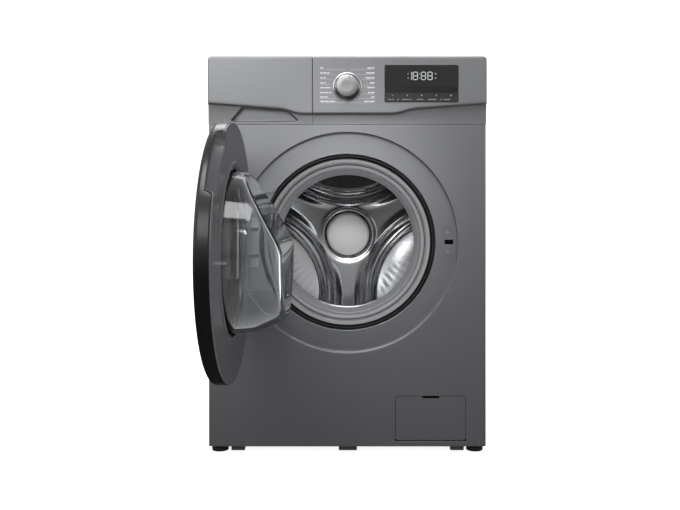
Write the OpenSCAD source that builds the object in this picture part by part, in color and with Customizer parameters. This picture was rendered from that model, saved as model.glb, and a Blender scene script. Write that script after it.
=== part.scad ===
// Front load washing machine, built as the real one comes apart on a bench.
// Origin: centre of the footprint, on the floor. +Z up, the front faces -Y, the door is drawn open.

/* [Cabinet] */
// Width over the side walls
cabinet_w = 595; // [560:1:720]
// Depth from the front panel to the back of the side walls
cabinet_d = 480; // [440:1:600]
// Height of the worktop above the floor
machine_h = 850; // [820:1:1030]
// Gap between the floor and the cabinet
ground_gap = 15; // [12:1:18]
// Thickness of the steel sheet
sheet_t = 1; // [0.8:0.1:1.5]
// Radius of the front panel's upright edges
corner_r = 6; // [4:1:10]
// Thickness of the worktop
worktop_t = 28; // [20:1:35]

/* [Porthole] */
// Height of the door's centre and of the drum's axis
axis_z = 452; // [448:1:480]
// Radius of the round recess in the front panel
recess_r = 237; // [230:1:245]
// Depth of that recess
recess_deep = 12; // [10:1:14]
// Radius of the second, deeper step
step_r = 190; // [186:1:196]
// Depth of the second step and of the hinge pocket
pocket_deep = 22; // [20:1:24]
// Half the height of the hinge pocket
pocket_half = 107; // [90:1:120]
// Radius of the hole that the gasket clips into
throat_r = 178; // [174:1:182]
// Radius of the gasket's mouth
mouth_r = 145; // [120:1:150]

/* [Door] */
// Radius of the door
door_r = 240; // [232:1:250]
// Thickness of the door's rim
door_t = 30; // [28:1:40]
// Gap between the closed door and the front panel
door_gap = 1.6; // [1.2:0.1:3]
// Distance of the hinge axis from the door's centre
hinge_off = 223; // [210:1:226]
// Distance of the hinge axis in front of the front panel
hinge_out = 21; // [20:0.5:24]
// Angle at which the door stands open
door_open = 91; // [0:1:120]
// Depth of the glass bowl behind the door's inner face
bowl_deep = 100; // [70:1:110]
// Radius of the bowl where it leaves the door
bowl_r = 150; // [146:1:154]
// Thickness of the glass
glass_t = 5; // [4:0.5:7]

/* [Control panel] */
// Height of the control panel
fascia_h = 145; // [135:1:160]
// Distance that its raised face stands in front of the front panel
fascia_out = 12; // [8:1:16]
// Wall thickness of the plastic mouldings
wall = 2.5; // [2:0.1:3]
// Half the width of the zone round the knob
knob_zone = 74; // [60:1:90]
// Height of the knob's centre below the top
knob_drop = 65.5; // [55:0.5:75]
// Radius of the knob's cap
knob_r = 24.3; // [20:0.1:28]
// Height of the display window
display_h = 80; // [70:1:90]
// Number of option buttons under the display
button_count = 5; // [5:1:5]
// Height of each option button
button_h = 10; // [8:0.5:12]

/* [Drum and tub] */
// Radius of the drum
drum_ri = 235; // [200:1:240]
// Wall thickness of the tub
tub_t = 4; // [3:0.5:6]
// Gap between the drum and the tub
drum_gap = 13; // [10:1:20]
// Room behind the drum for the spider, bearings and pulley
rear_room = 165; // [160:1:190]
// Radius of the drum's mouth
drum_mouth_r = 150; // [146:1:170]
// Radius of the drum pulley
pulley_r = 140; // [100:1:160]
// Radius of the motor pulley
motor_pulley_r = 11; // [9:0.5:14]
// Height of the motor's axis above the floor
motor_z = 118; // [114:1:124]

/* [Base] */
// Radius of each foot
foot_r = 18; // [14:1:22]
// Radius of each foot's stud
stud_r = 5; // [4:0.5:6]
// Width of the service flap
flap_w = 149.5; // [130:0.5:160]
// Height of the service flap
flap_h = 94; // [84:1:100]

/* [Hidden] */
$fn = 96;
eps = 0.01;
fit = 0.3; // gap between pieces that move past each other
run_fit = 0.05; // radial gap of a shaft in its bore
swell = 1.06; // how much wider a hose is at a bend

half_w = cabinet_w / 2;
front_y = -cabinet_d / 2;
rear_y = cabinet_d / 2;
seam = 0.5; // half of the line between two panels
panel_gap = 0.1; // between a side wall and the back

// Colours
graphite = [0.33, 0.34, 0.36];
dark_grey = [0.25, 0.25, 0.27];
black = [0.05, 0.05, 0.06];
steel = [0.72, 0.73, 0.75];
zinc = [0.62, 0.64, 0.66];
rubber_grey = [0.45, 0.46, 0.47];
tub_white = [0.82, 0.83, 0.82];
ballast_grey = [0.42, 0.42, 0.42];

// Control panel heights
panel_top = machine_h - fascia_h;
fascia_back = 38; // depth of the mouldings behind the front plane
cove_deep = 14; // how far the cove under the raised face goes back
wave_low = 22; // height of the wavy edge above the seam, in the middle
wave_mid = 33; // the same beside the middle
wave_end = 43.5; // the same at the sides of the cabinet
wave_x1 = 94; // the middle stretch ends here
wave_x2 = 151; // and the side stretch starts here
cove_top = panel_top + wave_end + 3;
knob_z = machine_h - knob_drop;
display_x0 = knob_zone + 5;
display_x1 = half_w - 60.5;
display_z1 = machine_h - 19;
display_z0 = display_z1 - display_h;
display_proud = 0.6;
button_z0 = display_z0 + 22.5;
button_gap = 0.6;
button_pitch = (display_x1 - display_x0 - 3) / button_count;
button_travel = 1.2;
drawer_x1 = -knob_zone;
frame_y = front_y + 17; // front of the plate behind the drawer's face
board_y = front_y + 12;

// Detergent drawer
tray_x0 = -half_w + 28;
tray_x1 = drawer_x1 - 22;
tray_z0 = panel_top + 36;
tray_h = 64;
tray_len = 262;
housing_gap = 1.5;

// Door, in its closed place: s runs out from the inner face of the door towards the user
inner_face_y = front_y - door_gap;
hinge_y = front_y - hinge_out;
rim_wall = 4;
glass_seat_r = bowl_r + 5;
flange_r = glass_seat_r + 8;
scoop_from = 28; // angles of the finger scoop, from the lock's side
scoop_to = 65;
scoop_deep = 16;
hook_x = 219;
hook_s = 13;
screw_ring_r = 217;
notch_half = 44; // half the height of the notch that the hinge needs
notch_deep = hinge_out - door_gap + 7.6;
knuckle_r = 6;
pin_r = 3;

// Depths behind the front plane, along the drum's axis
tub_face = 68;
tub_seam = 150;
drum_face = 82;
drum_back = cabinet_d - rear_room;
plateau = drum_back - 12;
tub_back = drum_back + 31;
tub_ri = drum_ri + 1 + drum_gap;
tub_ro = tub_ri + tub_t;
tub_flange_r = tub_ro + 12;
collar_r = 170;
boss_end = tub_back + 54;
belt_at = boss_end + 9;
belt_w = 18;
shaft_r = 15;
shaft_end_r = 12.5;
arm_angles = [30, 150, 270];
lifter_angles = [90, 210, 330];
star_c = 299; // centre distance of the circles that shape the drum's back
star_r = 224;
lifter_h = 55;

// Suspension
spring_x = half_w - 35;
spring_y = rear_y - 155;
spring_z0 = axis_z + 133;
spring_z1 = machine_h - 62;
// From the spring in to the tub
lug_len = spring_x - sqrt(tub_ri * tub_ri - pow(spring_z0 - axis_z, 2)) + 12;
coil_r = 12;
wire_r = 1.6;
damper_x = tub_ro - 85.5;
damper_y = front_y + 250;
damper_z0 = ground_gap + 22;
damper_z1 = axis_z - 232;
damper_r = 12;
rod_r = 6;
pivot_r = 4;
motor_r = 60;
motor_y0 = front_y + boss_end - 116;
motor_y1 = front_y + boss_end - 4;

// Pump, behind the service flap
flap_x = half_w - 119;
flap_z0 = ground_gap + 13.5;
flap_axis_y = front_y + 6;
flap_axis_z = flap_z0 + 4;
pump_z = ground_gap + 60;
filter_r = 21;
cap_r = 29;
pump_y = front_y + 26;
volute_y = pump_y + 66;
foot_x = half_w - 21;
foot_y = -front_y - 30;
drain_x = half_w - 55;
drain_z = pump_z + 22;

// ---------- frames and plain shapes ----------

// Along the drum's axis: z is the depth behind the front plane, and angles are seen from the front
module along_axis() translate([0, front_y, axis_z]) rotate([-90, 0, 0]) children();

module at_angle(a) rotate([0, 0, -a]) children();

// The door's own frame: z is the distance in front of its inner face, y is up
module on_door() translate([0, inner_face_y, axis_z]) rotate([90, 0, 0]) children();

// Swings what is drawn at the closed door's place to where the door stands open
module door_swing()
    translate([-hinge_off, hinge_y, 0])
        rotate([0, 0, -door_open])
            translate([hinge_off, -hinge_y, 0])
                children();

module tube(ri, ro, z0, z1)
    translate([0, 0, z0])
        difference() {
            cylinder(r = ro, h = z1 - z0);
            translate([0, 0, -1]) cylinder(r = ri, h = z1 - z0 + 2);
        }

module disc(r, z0, z1) translate([0, 0, z0]) cylinder(r = r, h = z1 - z0);

// A box from its two corners
module block(a, b) translate(a) cube([b[0] - a[0], b[1] - a[1], b[2] - a[2]]);

// Cylinders along X and Y, from their start point
module rod_y(r, h) rotate([-90, 0, 0]) cylinder(r = r, h = h);
module rod_x(r, h) rotate([0, 90, 0]) cylinder(r = r, h = h);

module round_rect(x0, y0, x1, y1, r) {
    translate([x0 + r, y0]) square([x1 - x0 - 2 * r, y1 - y0]);
    translate([x0, y0 + r]) square([x1 - x0, y1 - y0 - 2 * r]);
    for (x = [x0 + r, x1 - r], y = [y0 + r, y1 - r]) translate([x, y]) circle(r = r);
}

// A plate with round corners that faces the user, between two depths along Y
module face_plate(x0, z0, x1, z1, r, y0, y1)
    translate([0, y1, 0]) rotate([90, 0, 0]) linear_extrude(y1 - y0) round_rect(x0, z0, x1, z1, r);

// A cylinder between two points
module link(a, b, r) {
    d = b - a;
    translate(a) rotate([0, acos(d[2] / norm(d)), atan2(d[1], d[0])]) cylinder(r = r, h = norm(d));
}

// A round hose through a list of points, a little swollen at its bends, with its bore open at both ends
module hose(points, r, bore) {
    last = len(points) - 1;
    start_out = points[0] - (points[1] - points[0]) / norm(points[1] - points[0]);
    end_out = points[last] + (points[last] - points[last - 1]) / norm(points[last] - points[last - 1]);
    difference() {
        union() {
            for (k = [1 : last]) link(points[k - 1], points[k], r);
            if (last > 1) for (k = [1 : last - 1]) translate(points[k]) sphere(r = r * swell);
        }
        for (k = [1 : last]) link(k == 1 ? start_out : points[k - 1], k == last ? end_out : points[k],
            bore);
        if (last > 1) for (k = [1 : last - 1]) translate(points[k]) sphere(r = bore * swell);
    }
}

// ---------- cabinet ----------

// Plan of a sheet whose two front edges are rounded
module folded_plan(hw, y0, y1, r) {
    translate([-hw, y0 + r]) square([2 * hw, y1 - y0 - r]);
    intersection() {
        union() {
            translate([-hw + r, y0]) square([2 * (hw - r), r + 1]);
            for (x = [-hw + r, hw - r]) translate([x, y0 + r]) circle(r = r);
        }
        translate([-hw, y0]) square([2 * hw, y1 - y0]);
    }
}

// The room that the door's recess, its second step and the hinge pocket take
module recess_volume(grow, from) {
    translate([0, 0, from]) cylinder(r = recess_r + grow, h = recess_deep + grow - from);
    translate([0, 0, from]) cylinder(r = step_r + grow, h = pocket_deep + grow - from);
    intersection() {
        translate([0, 0, from]) cylinder(r = recess_r + grow, h = pocket_deep + grow - from);
        block([-recess_r - 9, -pocket_half - grow, from], [0, pocket_half + grow, pocket_deep + grow]);
    }
}

flange_y = front_y + 9;

// Slot for the door's hook, and the two holes for the lock's screws
module lock_openings() {
    block([hook_x - 9, -5, -5], [hook_x + 9, 5, 5]);
    for (side = [-1, 1]) translate([hook_x - 3, -5, side * 21.5]) rod_y(2.2, 10);
}

module front_panel() color(graphite) difference() {
    union() {
        difference() {
            translate([0, 0, ground_gap]) linear_extrude(panel_top - seam - ground_gap) difference() {
                folded_plan(half_w, front_y, flange_y, corner_r);
                folded_plan(half_w - sheet_t, front_y + sheet_t, flange_y + 20, corner_r - sheet_t);
            }
            along_axis() recess_volume(0, -5);
        }
        along_axis() difference() {
            recess_volume(sheet_t, 0);
            recess_volume(0, -5);
        }
        along_axis() disc(throat_r + sheet_t, pocket_deep, pocket_deep + 11);
    }
    along_axis() disc(throat_r, -5, pocket_deep + 20);
    translate([0, front_y + recess_deep, axis_z]) lock_openings();
    flap_opening(front_y - 1, front_y + 5);
}

// The gap under the flap lets its lower edge roll past the sheet as it tips out
flap_gap = 0.8;
flap_sill = 2.4;

module flap_opening(y0, y1) {
    x0 = flap_x - flap_w / 2 - flap_gap;
    x1 = flap_x + flap_w / 2 + flap_gap;
    face_plate(x0, flap_z0 - flap_sill, x1, flap_z0 + flap_h + flap_gap, 7, y0, y1);
    block([x0, y0, flap_z0 - flap_sill], [x1, y1, flap_z0 + 7]);
}

wrap_top = machine_h - worktop_t;
rear_hole_x = half_w - 90;
rear_hole_z0 = ground_gap + 70;
rear_hole_z1 = machine_h - 100;

// Two side walls and the frame of the back, which stands between them
module cabinet_wrap() color(graphite) difference() {
    union() {
        for (x = [-half_w, half_w - sheet_t]) block([x, flange_y, ground_gap],
            [x + sheet_t, rear_y, wrap_top]);
        block([-half_w + sheet_t + panel_gap, rear_y - sheet_t, ground_gap],
            [half_w - sheet_t - panel_gap, rear_y, wrap_top]);
    }
    block([-rear_hole_x, rear_y - 5, rear_hole_z0], [rear_hole_x, rear_y + 5, rear_hole_z1]);
    // the sides stop behind the control panel
    block([-half_w - 1, flange_y - 1, panel_top - seam],
        [half_w + 1, front_y + fascia_back + seam, wrap_top + 1]);
    inlet_bore(2);
    drain_bore(2);
    gland_bore(2);
}

module inlet_bore(grow) translate([inlet_x, rear_y - 9, inlet_z]) rod_y(inlet_r + grow, 18);
module drain_bore(grow) translate([drain_x, rear_y - 9, drain_z]) rod_y(drain_r + grow, 18);
module gland_bore(grow) translate([gland_x, rear_y - 9, gland_z]) rod_y(gland_r + grow, 18);

module rear_cover() color(zinc) {
    difference() {
        union() {
            face_plate(-rear_hole_x - 12, rear_hole_z0 - 12, rear_hole_x + 12, rear_hole_z1 + 12, 14,
                rear_y, rear_y + sheet_t);
            // pressed boss that clears the pulley
            translate([0, rear_y, axis_z]) rod_y(pulley_r + 30, 7);
        }
        translate([0, rear_y - 1, axis_z]) rod_y(pulley_r + 29, 7);
        for (x = rear_screw_x, z = rear_screw_z) translate([x, rear_y - 1, z]) rod_y(2.2, 4);
    }
}

rear_screw_x = [-rear_hole_x - 6, rear_hole_x + 6];
rear_screw_z = [for (k = [0 : 4]) rear_hole_z0 + 10 + k * (rear_hole_z1 - rear_hole_z0 - 20) / 4];

module worktop() color(graphite) {
    difference() {
        face_up_plate(-half_w, front_y + fascia_back + seam, half_w, rear_y, 3, wrap_top, machine_h);
        // hollow underneath: a rim round a board
        block([-half_w + 14, front_y + fascia_back + 14, wrap_top - 1],
            [half_w - 14, rear_y - 14, machine_h - 16]);
    }
}

module face_up_plate(x0, y0, x1, y1, r, z0, z1)
    translate([0, 0, z0]) linear_extrude(z1 - z0) round_rect(x0, y0, x1, y1, r);

tab_spans = [[-half_w + 48.5, -half_w + 77.5], [-18.5, 20.5], [half_w - 76.5, half_w - 47.5]];

module base_tray() color(dark_grey) difference() {
    union() {
        difference() {
            block([-half_w + 3, flange_y + 1, ground_gap], [half_w - 3, rear_y - 3, ground_gap + 22]);
            block([-half_w + 6, flange_y + 4, ground_gap + 3], [half_w - 6, rear_y - 6, ground_gap + 23]);
            // open middle, under the motor
            block([-95, front_y + 150, ground_gap - 1], [95, rear_y - 70, ground_gap + 4]);
        }
        for (x = [-foot_x, foot_x], y = [-foot_y, foot_y])
            translate([x, y, ground_gap]) cylinder(r = stud_r + 8, h = 34);
        for (side = [-1, 1]) translate([flap_x + side * (flap_w / 2 + 3) - 2, front_y + 2, ground_gap + 2])
            cube([4, 10, 22]);
        for (t = tab_spans) block([t[0], front_y + 3, ground_gap - 9],
            [t[1], front_y + 14, ground_gap + 3]);
        for (x = [-damper_x, damper_x], side = [-1, 1])
            block([x - 12, damper_y + side * 15 - 2.5, ground_gap + 3],
                [x + 12, damper_y + side * 15 + 2.5, damper_z0 + 8]);
    }
    for (x = [-foot_x, foot_x], y = [-foot_y, foot_y])
        translate([x, y, ground_gap - 1]) cylinder(r = stud_r + run_fit, h = 40);
    for (x = [-damper_x, damper_x]) translate([x, damper_y - 25, damper_z0]) rod_y(pivot_r + run_fit, 50);
    // room for the flap and the filter
    block([flap_x - flap_w / 2 - 1, flange_y - 9, ground_gap + 3],
        [flap_x + flap_w / 2 + 1, front_y + 24, ground_gap + 30]);
    for (side = [-1, 1])
        translate([flap_x + side * (flap_w / 2 + 3) - 4, flap_axis_y, flap_axis_z]) rod_x(2 + run_fit, 8);
}

module top_braces() color(zinc) {
    // front brace: an angle that the front panel and the control panel hang on
    block([-half_w + 2, flange_y + 0.5, panel_top - 3], [half_w - 2, front_y + 30, panel_top - 1]);
    block([-half_w + 2, flange_y + 0.5, panel_top - 10], [half_w - 2, flange_y + 2, panel_top - 3]);
    // spring brace across the middle
    difference() {
        block([-half_w + sheet_t, spring_y - 14, spring_z1 + 4],
            [half_w - sheet_t, spring_y + 14, spring_z1 + 16]);
        block([-half_w, spring_y - 12.5, spring_z1 + 3], [half_w, spring_y + 12.5, spring_z1 + 14.5]);
        for (x = [-spring_x, spring_x]) translate([x, spring_y, spring_z1]) cylinder(r = 4, h = 20);
    }
    // rear brace under the worktop's edge
    block([-half_w + sheet_t, rear_y - 32, wrap_top - 24],
        [half_w - sheet_t, rear_y - sheet_t, wrap_top - 22.5]);
}

module slotted_screw(r, len, head_r, head_h) {
    cylinder(r = r, h = len);
    difference() {
        translate([0, 0, -head_h]) cylinder(r = head_r, h = head_h);
        for (a = [0, 90]) rotate([0, 0, a]) translate([-head_r * 0.6, -0.5, -head_h - 1])
            cube([head_r * 1.2, 1, head_h * 0.5 + 1]);
    }
}

module cabinet_fasteners() color(steel) {
    for (x = rear_screw_x, z = rear_screw_z)
        translate([x, rear_y + sheet_t, z]) rotate([90, 0, 0]) slotted_screw(2, sheet_t, 4, 2.2);
    for (side = [-1, 1])
        translate([hook_x - 3, front_y + recess_deep, axis_z + side * 21.5])
            rotate([-90, 0, 0]) slotted_screw(2, 5, 3.6, 1.2);
    for (x = [-foot_x, foot_x], y = [-foot_y, foot_y])
        translate([x, y, ground_gap - 2.6]) difference() {
            cylinder(r = stud_r + 4, h = 2.5, $fn = 6);
            translate([0, 0, -1]) cylinder(r = stud_r + run_fit, h = 6);
        }
}

// ---------- feet ----------

module foot(x, y) translate([x, y, 0]) color(black) {
    rotate_extrude() polygon([
        [0, 0], [foot_r - 0.4, 0], [foot_r, 0.4], [foot_r, 8], [foot_r - 5, ground_gap - 3],
        [stud_r, ground_gap - 3], [stud_r, ground_gap + 44], [stud_r - 1, ground_gap + 45],
            [0, ground_gap + 45]
    ]);
}

// ---------- control panel ----------

// Height of the raised face's wavy lower edge above the seam
function smooth(t) = t * t * (3 - 2 * t);
function wave(x) =
    abs(x) <= wave_x1 ? wave_low
    : abs(x) <= wave_x2 ? wave_low + (wave_mid - wave_low) * smooth((abs(x) - wave_x1) / (wave_x2 - wave_x1))
    : wave_mid + (wave_end - wave_mid) * (abs(x) - wave_x2) / (half_w - wave_x2);

module raised_outline(x0, x1) {
    steps = 24;
    difference() {
        polygon(concat(
            [for (k = [0 : steps]) let (x = x0 + (x1 - x0) * k / steps) [x, panel_top + wave(x)]],
            [[x1, machine_h], [x0, machine_h]]
        ));
        // the cabinet's outer corner is rounded
        for (side = [-1, 1]) if (side * x0 >= half_w - eps || side * x1 >= half_w - eps)
            translate([side * half_w, machine_h]) difference() {
                square(2 * corner_r + 4, center = true);
                translate([-side * (corner_r + 2), -corner_r - 2]) circle(r = corner_r + 2);
            }
    }
}

// Raised face, cove and side walls between two places along X
module fascia_solid(x0, x1) {
    translate([0, front_y + fascia_back, 0]) rotate([90, 0, 0])
        linear_extrude(fascia_back + fascia_out) raised_outline(x0, x1);
    translate([x0, 0, 0]) rotate([90, 0, 90]) linear_extrude(x1 - x0) polygon([
        [front_y, panel_top + seam], [front_y + cove_deep, cove_top],
        [front_y + fascia_back, cove_top], [front_y + fascia_back, panel_top + seam]
    ]);
}

// Its hollow, open at the back, with a wall left at each end
module fascia_hollow(x0, x1) {
    block([x0 + wall, front_y - fascia_out + wall, cove_top + wall],
        [x1 - wall, front_y + 60, machine_h - wall]);
    block([x0 + wall, front_y + cove_deep + wall, panel_top + wall],
        [x1 - wall, front_y + 60, machine_h - wall]);
}

module display_hole(grow)
    face_plate(display_x0 - grow, display_z0 - grow, display_x1 + grow, display_z1 + grow, 4 + grow,
        front_y - fascia_out - 5, front_y - fascia_out + wall + 1);

module fascia() color(graphite) difference() {
    union() {
        difference() {
            fascia_solid(drawer_x1 + seam, half_w);
            fascia_hollow(drawer_x1 + seam, half_w);
        }
        // plate behind the drawer's face, with the drawer's opening
        block([-half_w, frame_y, panel_top + seam], [drawer_x1 + seam + 1, frame_y + 3, machine_h]);
        block([-half_w, frame_y, panel_top + seam], [-half_w + 2, front_y + fascia_back, machine_h]);
        block([-half_w, frame_y, machine_h - 3], [drawer_x1 + 1, front_y + fascia_back, machine_h]);
        // bezel ring round the knob
        translate([0, front_y - fascia_out + 0.1, knob_z]) rotate([90, 0, 0]) tube(knob_r + 3.7,
            knob_r + 6.7, 0, 2.2);
    }
    block([tray_x0 - 4, frame_y - 1, tray_z0 - 4], [tray_x1 + 4, frame_y + 4, tray_z0 + tray_h + 6]);
    display_hole(fit);
    // pocket for the display's own rim
    block([display_x0 - 3 - fit, front_y - fascia_out + wall - eps, display_z0 - 3 - fit],
        [display_x1 + 3 + fit, front_y - fascia_out + wall + 2 + 2 * fit, display_z1]);
    translate([0, front_y - fascia_out - 5, knob_z]) rod_y(4, 12);
}

module display_window() color(black) difference() {
    union() {
        face_plate(display_x0, display_z0, display_x1, display_z1, 4,
            front_y - fascia_out - display_proud, front_y - fascia_out + wall + fit);
        face_plate(display_x0 - 3, display_z0 - 3, display_x1 + 3, display_z1 + 3, 5,
            front_y - fascia_out + wall + fit, front_y - fascia_out + wall + fit + 2);
    }
    block([display_x0 + 1, front_y - fascia_out - 5, button_z0 - fit],
        [display_x1 - 1, front_y - fascia_out + wall + 5, button_z0 + button_h + fit]);
}

module control_board() color([0.1, 0.35, 0.2]) {
    // board, display module, knob encoder and key switches
    block([-knob_zone + 14, board_y, cove_top + wall + 2], [half_w - 12, board_y + 1.6, machine_h - 8]);
    block([display_x0 + 8, board_y - 12, button_z0 + button_h + 4],
        [display_x1 - 8, board_y, display_z1 - 4]);
    translate([0, board_y, knob_z]) rotate([90, 0, 0]) tube(3 + run_fit, 9, 0, 9);
    for (k = [0 : button_count - 1])
        block([button_x(k) - 3, board_y - 5, button_z0 + 2],
            [button_x(k) + 3, board_y, button_z0 + button_h - 2]);
    // relays, capacitors and the terminal block on its back
    for (k = [0 : 3])
        block([20 + k * 34, board_y + 1.6, knob_z - 18], [42 + k * 34, board_y + 16, knob_z + 2]);
    for (k = [0 : 2]) translate([175 + k * 26, board_y + 1.6, knob_z + 14]) rod_y(8, 20);
}

function button_x(k) = display_x0 + 1.5 + (k + 0.5) * button_pitch;

module option_button(k) color(black) {
    w = button_pitch - button_gap;
    face_plate(button_x(k) - w / 2, button_z0, button_x(k) + w / 2, button_z0 + button_h, 1,
        front_y - fascia_out - 2.4, front_y - fascia_out + 4);
    block([button_x(k) - 3, front_y - fascia_out + 4, button_z0 + 2],
        [button_x(k) + 3, board_y - 5 - button_travel - 0.2, button_z0 + button_h - 2]);
}

module selector_knob() color(steel) translate([0, front_y - fascia_out, knob_z]) rotate([90, 0,
    0]) difference() {
    union() {
        rotate_extrude() polygon([
            [0, fit], [knob_r + 2.6, fit], [knob_r + 2.6, 2], [knob_r, 3.5], [knob_r - 0.8, 17],
            [knob_r - 2.3, 18.5], [0, 18.5]
        ]);
        translate([0, 0, -(board_y - front_y + fascia_out) + 1]) cylinder(r = 3, h = 30);
    }
    // pointer notch at the rim
    rotate([0, 0, -15]) block([-0.8, knob_r - 6, 17.7], [0.8, knob_r + 1, 20]);
}

// ---------- detergent drawer ----------

// Finger pull under the wavy edge: a slanting pocket
pull_x0 = -half_w + 47;
pull_x1 = -half_w + 193;

module finger_pull(grow) translate([0, front_y + cove_deep - 1 + grow, 0]) rotate([90, 0, 0])
    linear_extrude(60 + 2 * grow) polygon([
        [pull_x0 - grow, panel_top + 8 - grow], [pull_x1 + grow, panel_top + 8 - grow],
        [pull_x1 - 32 + grow, panel_top + wave_mid + 1 + grow],
            [pull_x0 + 30 - grow, panel_top + wave_mid + 3 + grow]
    ]);

module drawer_front() color(graphite) difference() {
    intersection() {
        fascia_solid(-half_w, drawer_x1 - seam);
        block([-half_w - 1, front_y - 40, 0], [0, frame_y - fit, machine_h + 1]);
    }
    block([-half_w + wall, front_y - fascia_out + wall, cove_top + wall],
        [drawer_x1 - wall, frame_y + 1, machine_h - wall]);
    intersection() {
        finger_pull(0);
        block([-half_w, front_y - 3, 0], [0, front_y + 40, machine_h]);
    }
}

module drawer_tray() color(tub_white) difference() {
    block([tray_x0, frame_y - fit, tray_z0], [tray_x1, frame_y - fit + tray_len, tray_z0 + tray_h]);
    // main wash, pre-wash and softener compartments, open at the top
    third = (tray_x1 - tray_x0 - 4 * wall) / 3;
    for (k = [0 : 2])
        block([tray_x0 + wall + k * (third + wall), frame_y + wall + 6, tray_z0 + wall],
            [tray_x0 + wall + k * (third + wall) + third,
                frame_y + tray_len - wall - 6 - (k == 2 ? 60 : 0), tray_z0 + tray_h + 1]);
}

housing_y1 = frame_y + tray_len + 14;

module dispenser_housing() color(tub_white) difference() {
    union() {
        block([tray_x0 - housing_gap - wall, frame_y + 3, tray_z0 - housing_gap - wall],
            [tray_x1 + housing_gap + wall, housing_y1, tray_z0 + tray_h + housing_gap + 10]);
        // outlet spout at the bottom and water spigots at the back
        translate([spout_x, spout_y, tray_z0 - 28]) cylinder(r = 16, h = 28);
        for (k = [0 : 1]) translate([valve_x + k * 26, housing_y1 - 1, inlet_z]) rod_y(5, 16);
    }
    block([tray_x0 - housing_gap, frame_y + 2, tray_z0 - housing_gap],
        [tray_x1 + housing_gap, housing_y1 - wall, tray_z0 + tray_h + housing_gap]);
    translate([spout_x, spout_y, tray_z0 - 30]) cylinder(r = 13, h = 40);
}

spout_x = tray_x0 + 90;
spout_y = front_y + 200;

// ---------- water ----------

valve_x = -spring_x + coil_r + 17; // clear of the spring
inlet_x = valve_x - 14;
inlet_z = machine_h - 96;
inlet_r = 13.2;
drain_r = 11;
gland_x = half_w - 60;
gland_z = machine_h - 76;
gland_r = 9;
valve_y0 = rear_y - 62;

module inlet_valve() color(tub_white) difference() {
    union() {
        block([inlet_x - 20, valve_y0 + 14, inlet_z - 18],
            [inlet_x + 52, rear_y - sheet_t - 3, inlet_z + 18]);
        translate([inlet_x, rear_y - sheet_t - 3, inlet_z]) rod_y(inlet_r + 3, 3);
        translate([inlet_x, rear_y - 5, inlet_z]) rod_y(inlet_r, 23);
        for (k = [0 : 1]) {
            translate([valve_x + k * 26, valve_y0, inlet_z]) rod_y(5, 16);
            translate([valve_x + k * 26, valve_y0 + 36, inlet_z + 18]) cylinder(r = 10, h = 12);
        }
    }
    translate([inlet_x, rear_y - 6, inlet_z]) rod_y(9, 25);
}

module fixed_hoses() color(rubber_grey) {
    // two hoses from the inlet valve to the dispenser
    for (k = [0 : 1]) hose([
        [valve_x + k * 26, housing_y1 + 1, inlet_z], [valve_x + k * 26, valve_y0 + 13, inlet_z]
    ], 8, 5 + run_fit);
    // drain hose, from the pump to the outlet at the back
    hose([[drain_x, volute_y + 13, drain_z], [drain_x, rear_y - 5, drain_z]], drain_r, drain_r - 3);
    translate([drain_x, rear_y - 4, drain_z]) difference() {
        union() {
            rod_y(drain_r + 4, 3);
            rod_y(drain_r, 26);
        }
        translate([0, -1, 0]) rod_y(drain_r - 3, 30);
    }
}

sump_x = 70;
sump_y = front_y + 118;
sump_z = axis_z - tub_ro - 24;
pump_in_x = flap_x - 74;
fill_h = sqrt(tub_ro * tub_ro - spout_x * spout_x);

module flexing_hoses() color(black) {
    // dispenser to tub
    hose([[spout_x, spout_y, axis_z + fill_h + 25], [spout_x, spout_y, tray_z0 - 18]], 19, 16 + run_fit);
    // tub to pump
    hose([
        [sump_x, sump_y, sump_z + 12], [sump_x, sump_y, sump_z - 20],
        [pump_in_x - 20, sump_y, pump_z], [pump_in_x + 12, sump_y, pump_z]
    ], 22, 18.9);
}

module mains_gland() color(black) {
    difference() {
        union() {
            translate([gland_x, rear_y - 5, gland_z]) rod_y(gland_r, 12);
            translate([gland_x, rear_y, gland_z]) rod_y(gland_r + 3, 4);
            block([gland_x - 16, rear_y - 30, gland_z - 18], [gland_x + 16, rear_y - 4, gland_z + 18]);
        }
        translate([gland_x, rear_y - 20, gland_z]) rod_y(3.7, 40);
    }
}

// ---------- pump and flap ----------

module drain_pump() color(tub_white) {
    difference() {
        union() {
            translate([flap_x, pump_y, pump_z]) rod_y(filter_r + 5, volute_y - pump_y);
            translate([flap_x, pump_y, pump_z]) rod_y(cap_r + 1, 6);
            translate([flap_x, volute_y, pump_z]) rod_y(34, 30);
            translate([flap_x, volute_y + 30, pump_z]) rod_y(28, 52);
            translate([pump_in_x, sump_y, pump_z]) rod_x(18, flap_x - pump_in_x);
            translate([flap_x + 16, volute_y + 13, drain_z]) rod_x(12, drain_x - flap_x - 16 - drain_r - 1);
            block([flap_x - 24, volute_y + 36, ground_gap + 3], [flap_x + 24, volute_y + 70, pump_z - 20]);
        }
        translate([flap_x, pump_y - 1, pump_z]) rod_y(filter_r + 1.5, volute_y - pump_y + 4);
        translate([flap_x, volute_y + 3, pump_z]) rod_y(30, 22);
        translate([flap_x, volute_y + 20, pump_z]) rod_y(3 + run_fit, 30);
        translate([pump_in_x - 1, sump_y, pump_z]) rod_x(15, flap_x - pump_in_x - 20);
        translate([flap_x + 20, volute_y + 13, drain_z]) rod_x(8, drain_x - flap_x - 16 - drain_r + 1);
    }
}

module pump_impeller() color(black) translate([flap_x, volute_y + 5, pump_z]) rotate([-90, 0, 0]) {
    cylinder(r = 8, h = 16);
    for (a = [0 : 60 : 300]) rotate([0, 0, a]) translate([6, -1, 0]) cube([20, 2, 14]);
    cylinder(r = 3, h = 40);
}

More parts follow.
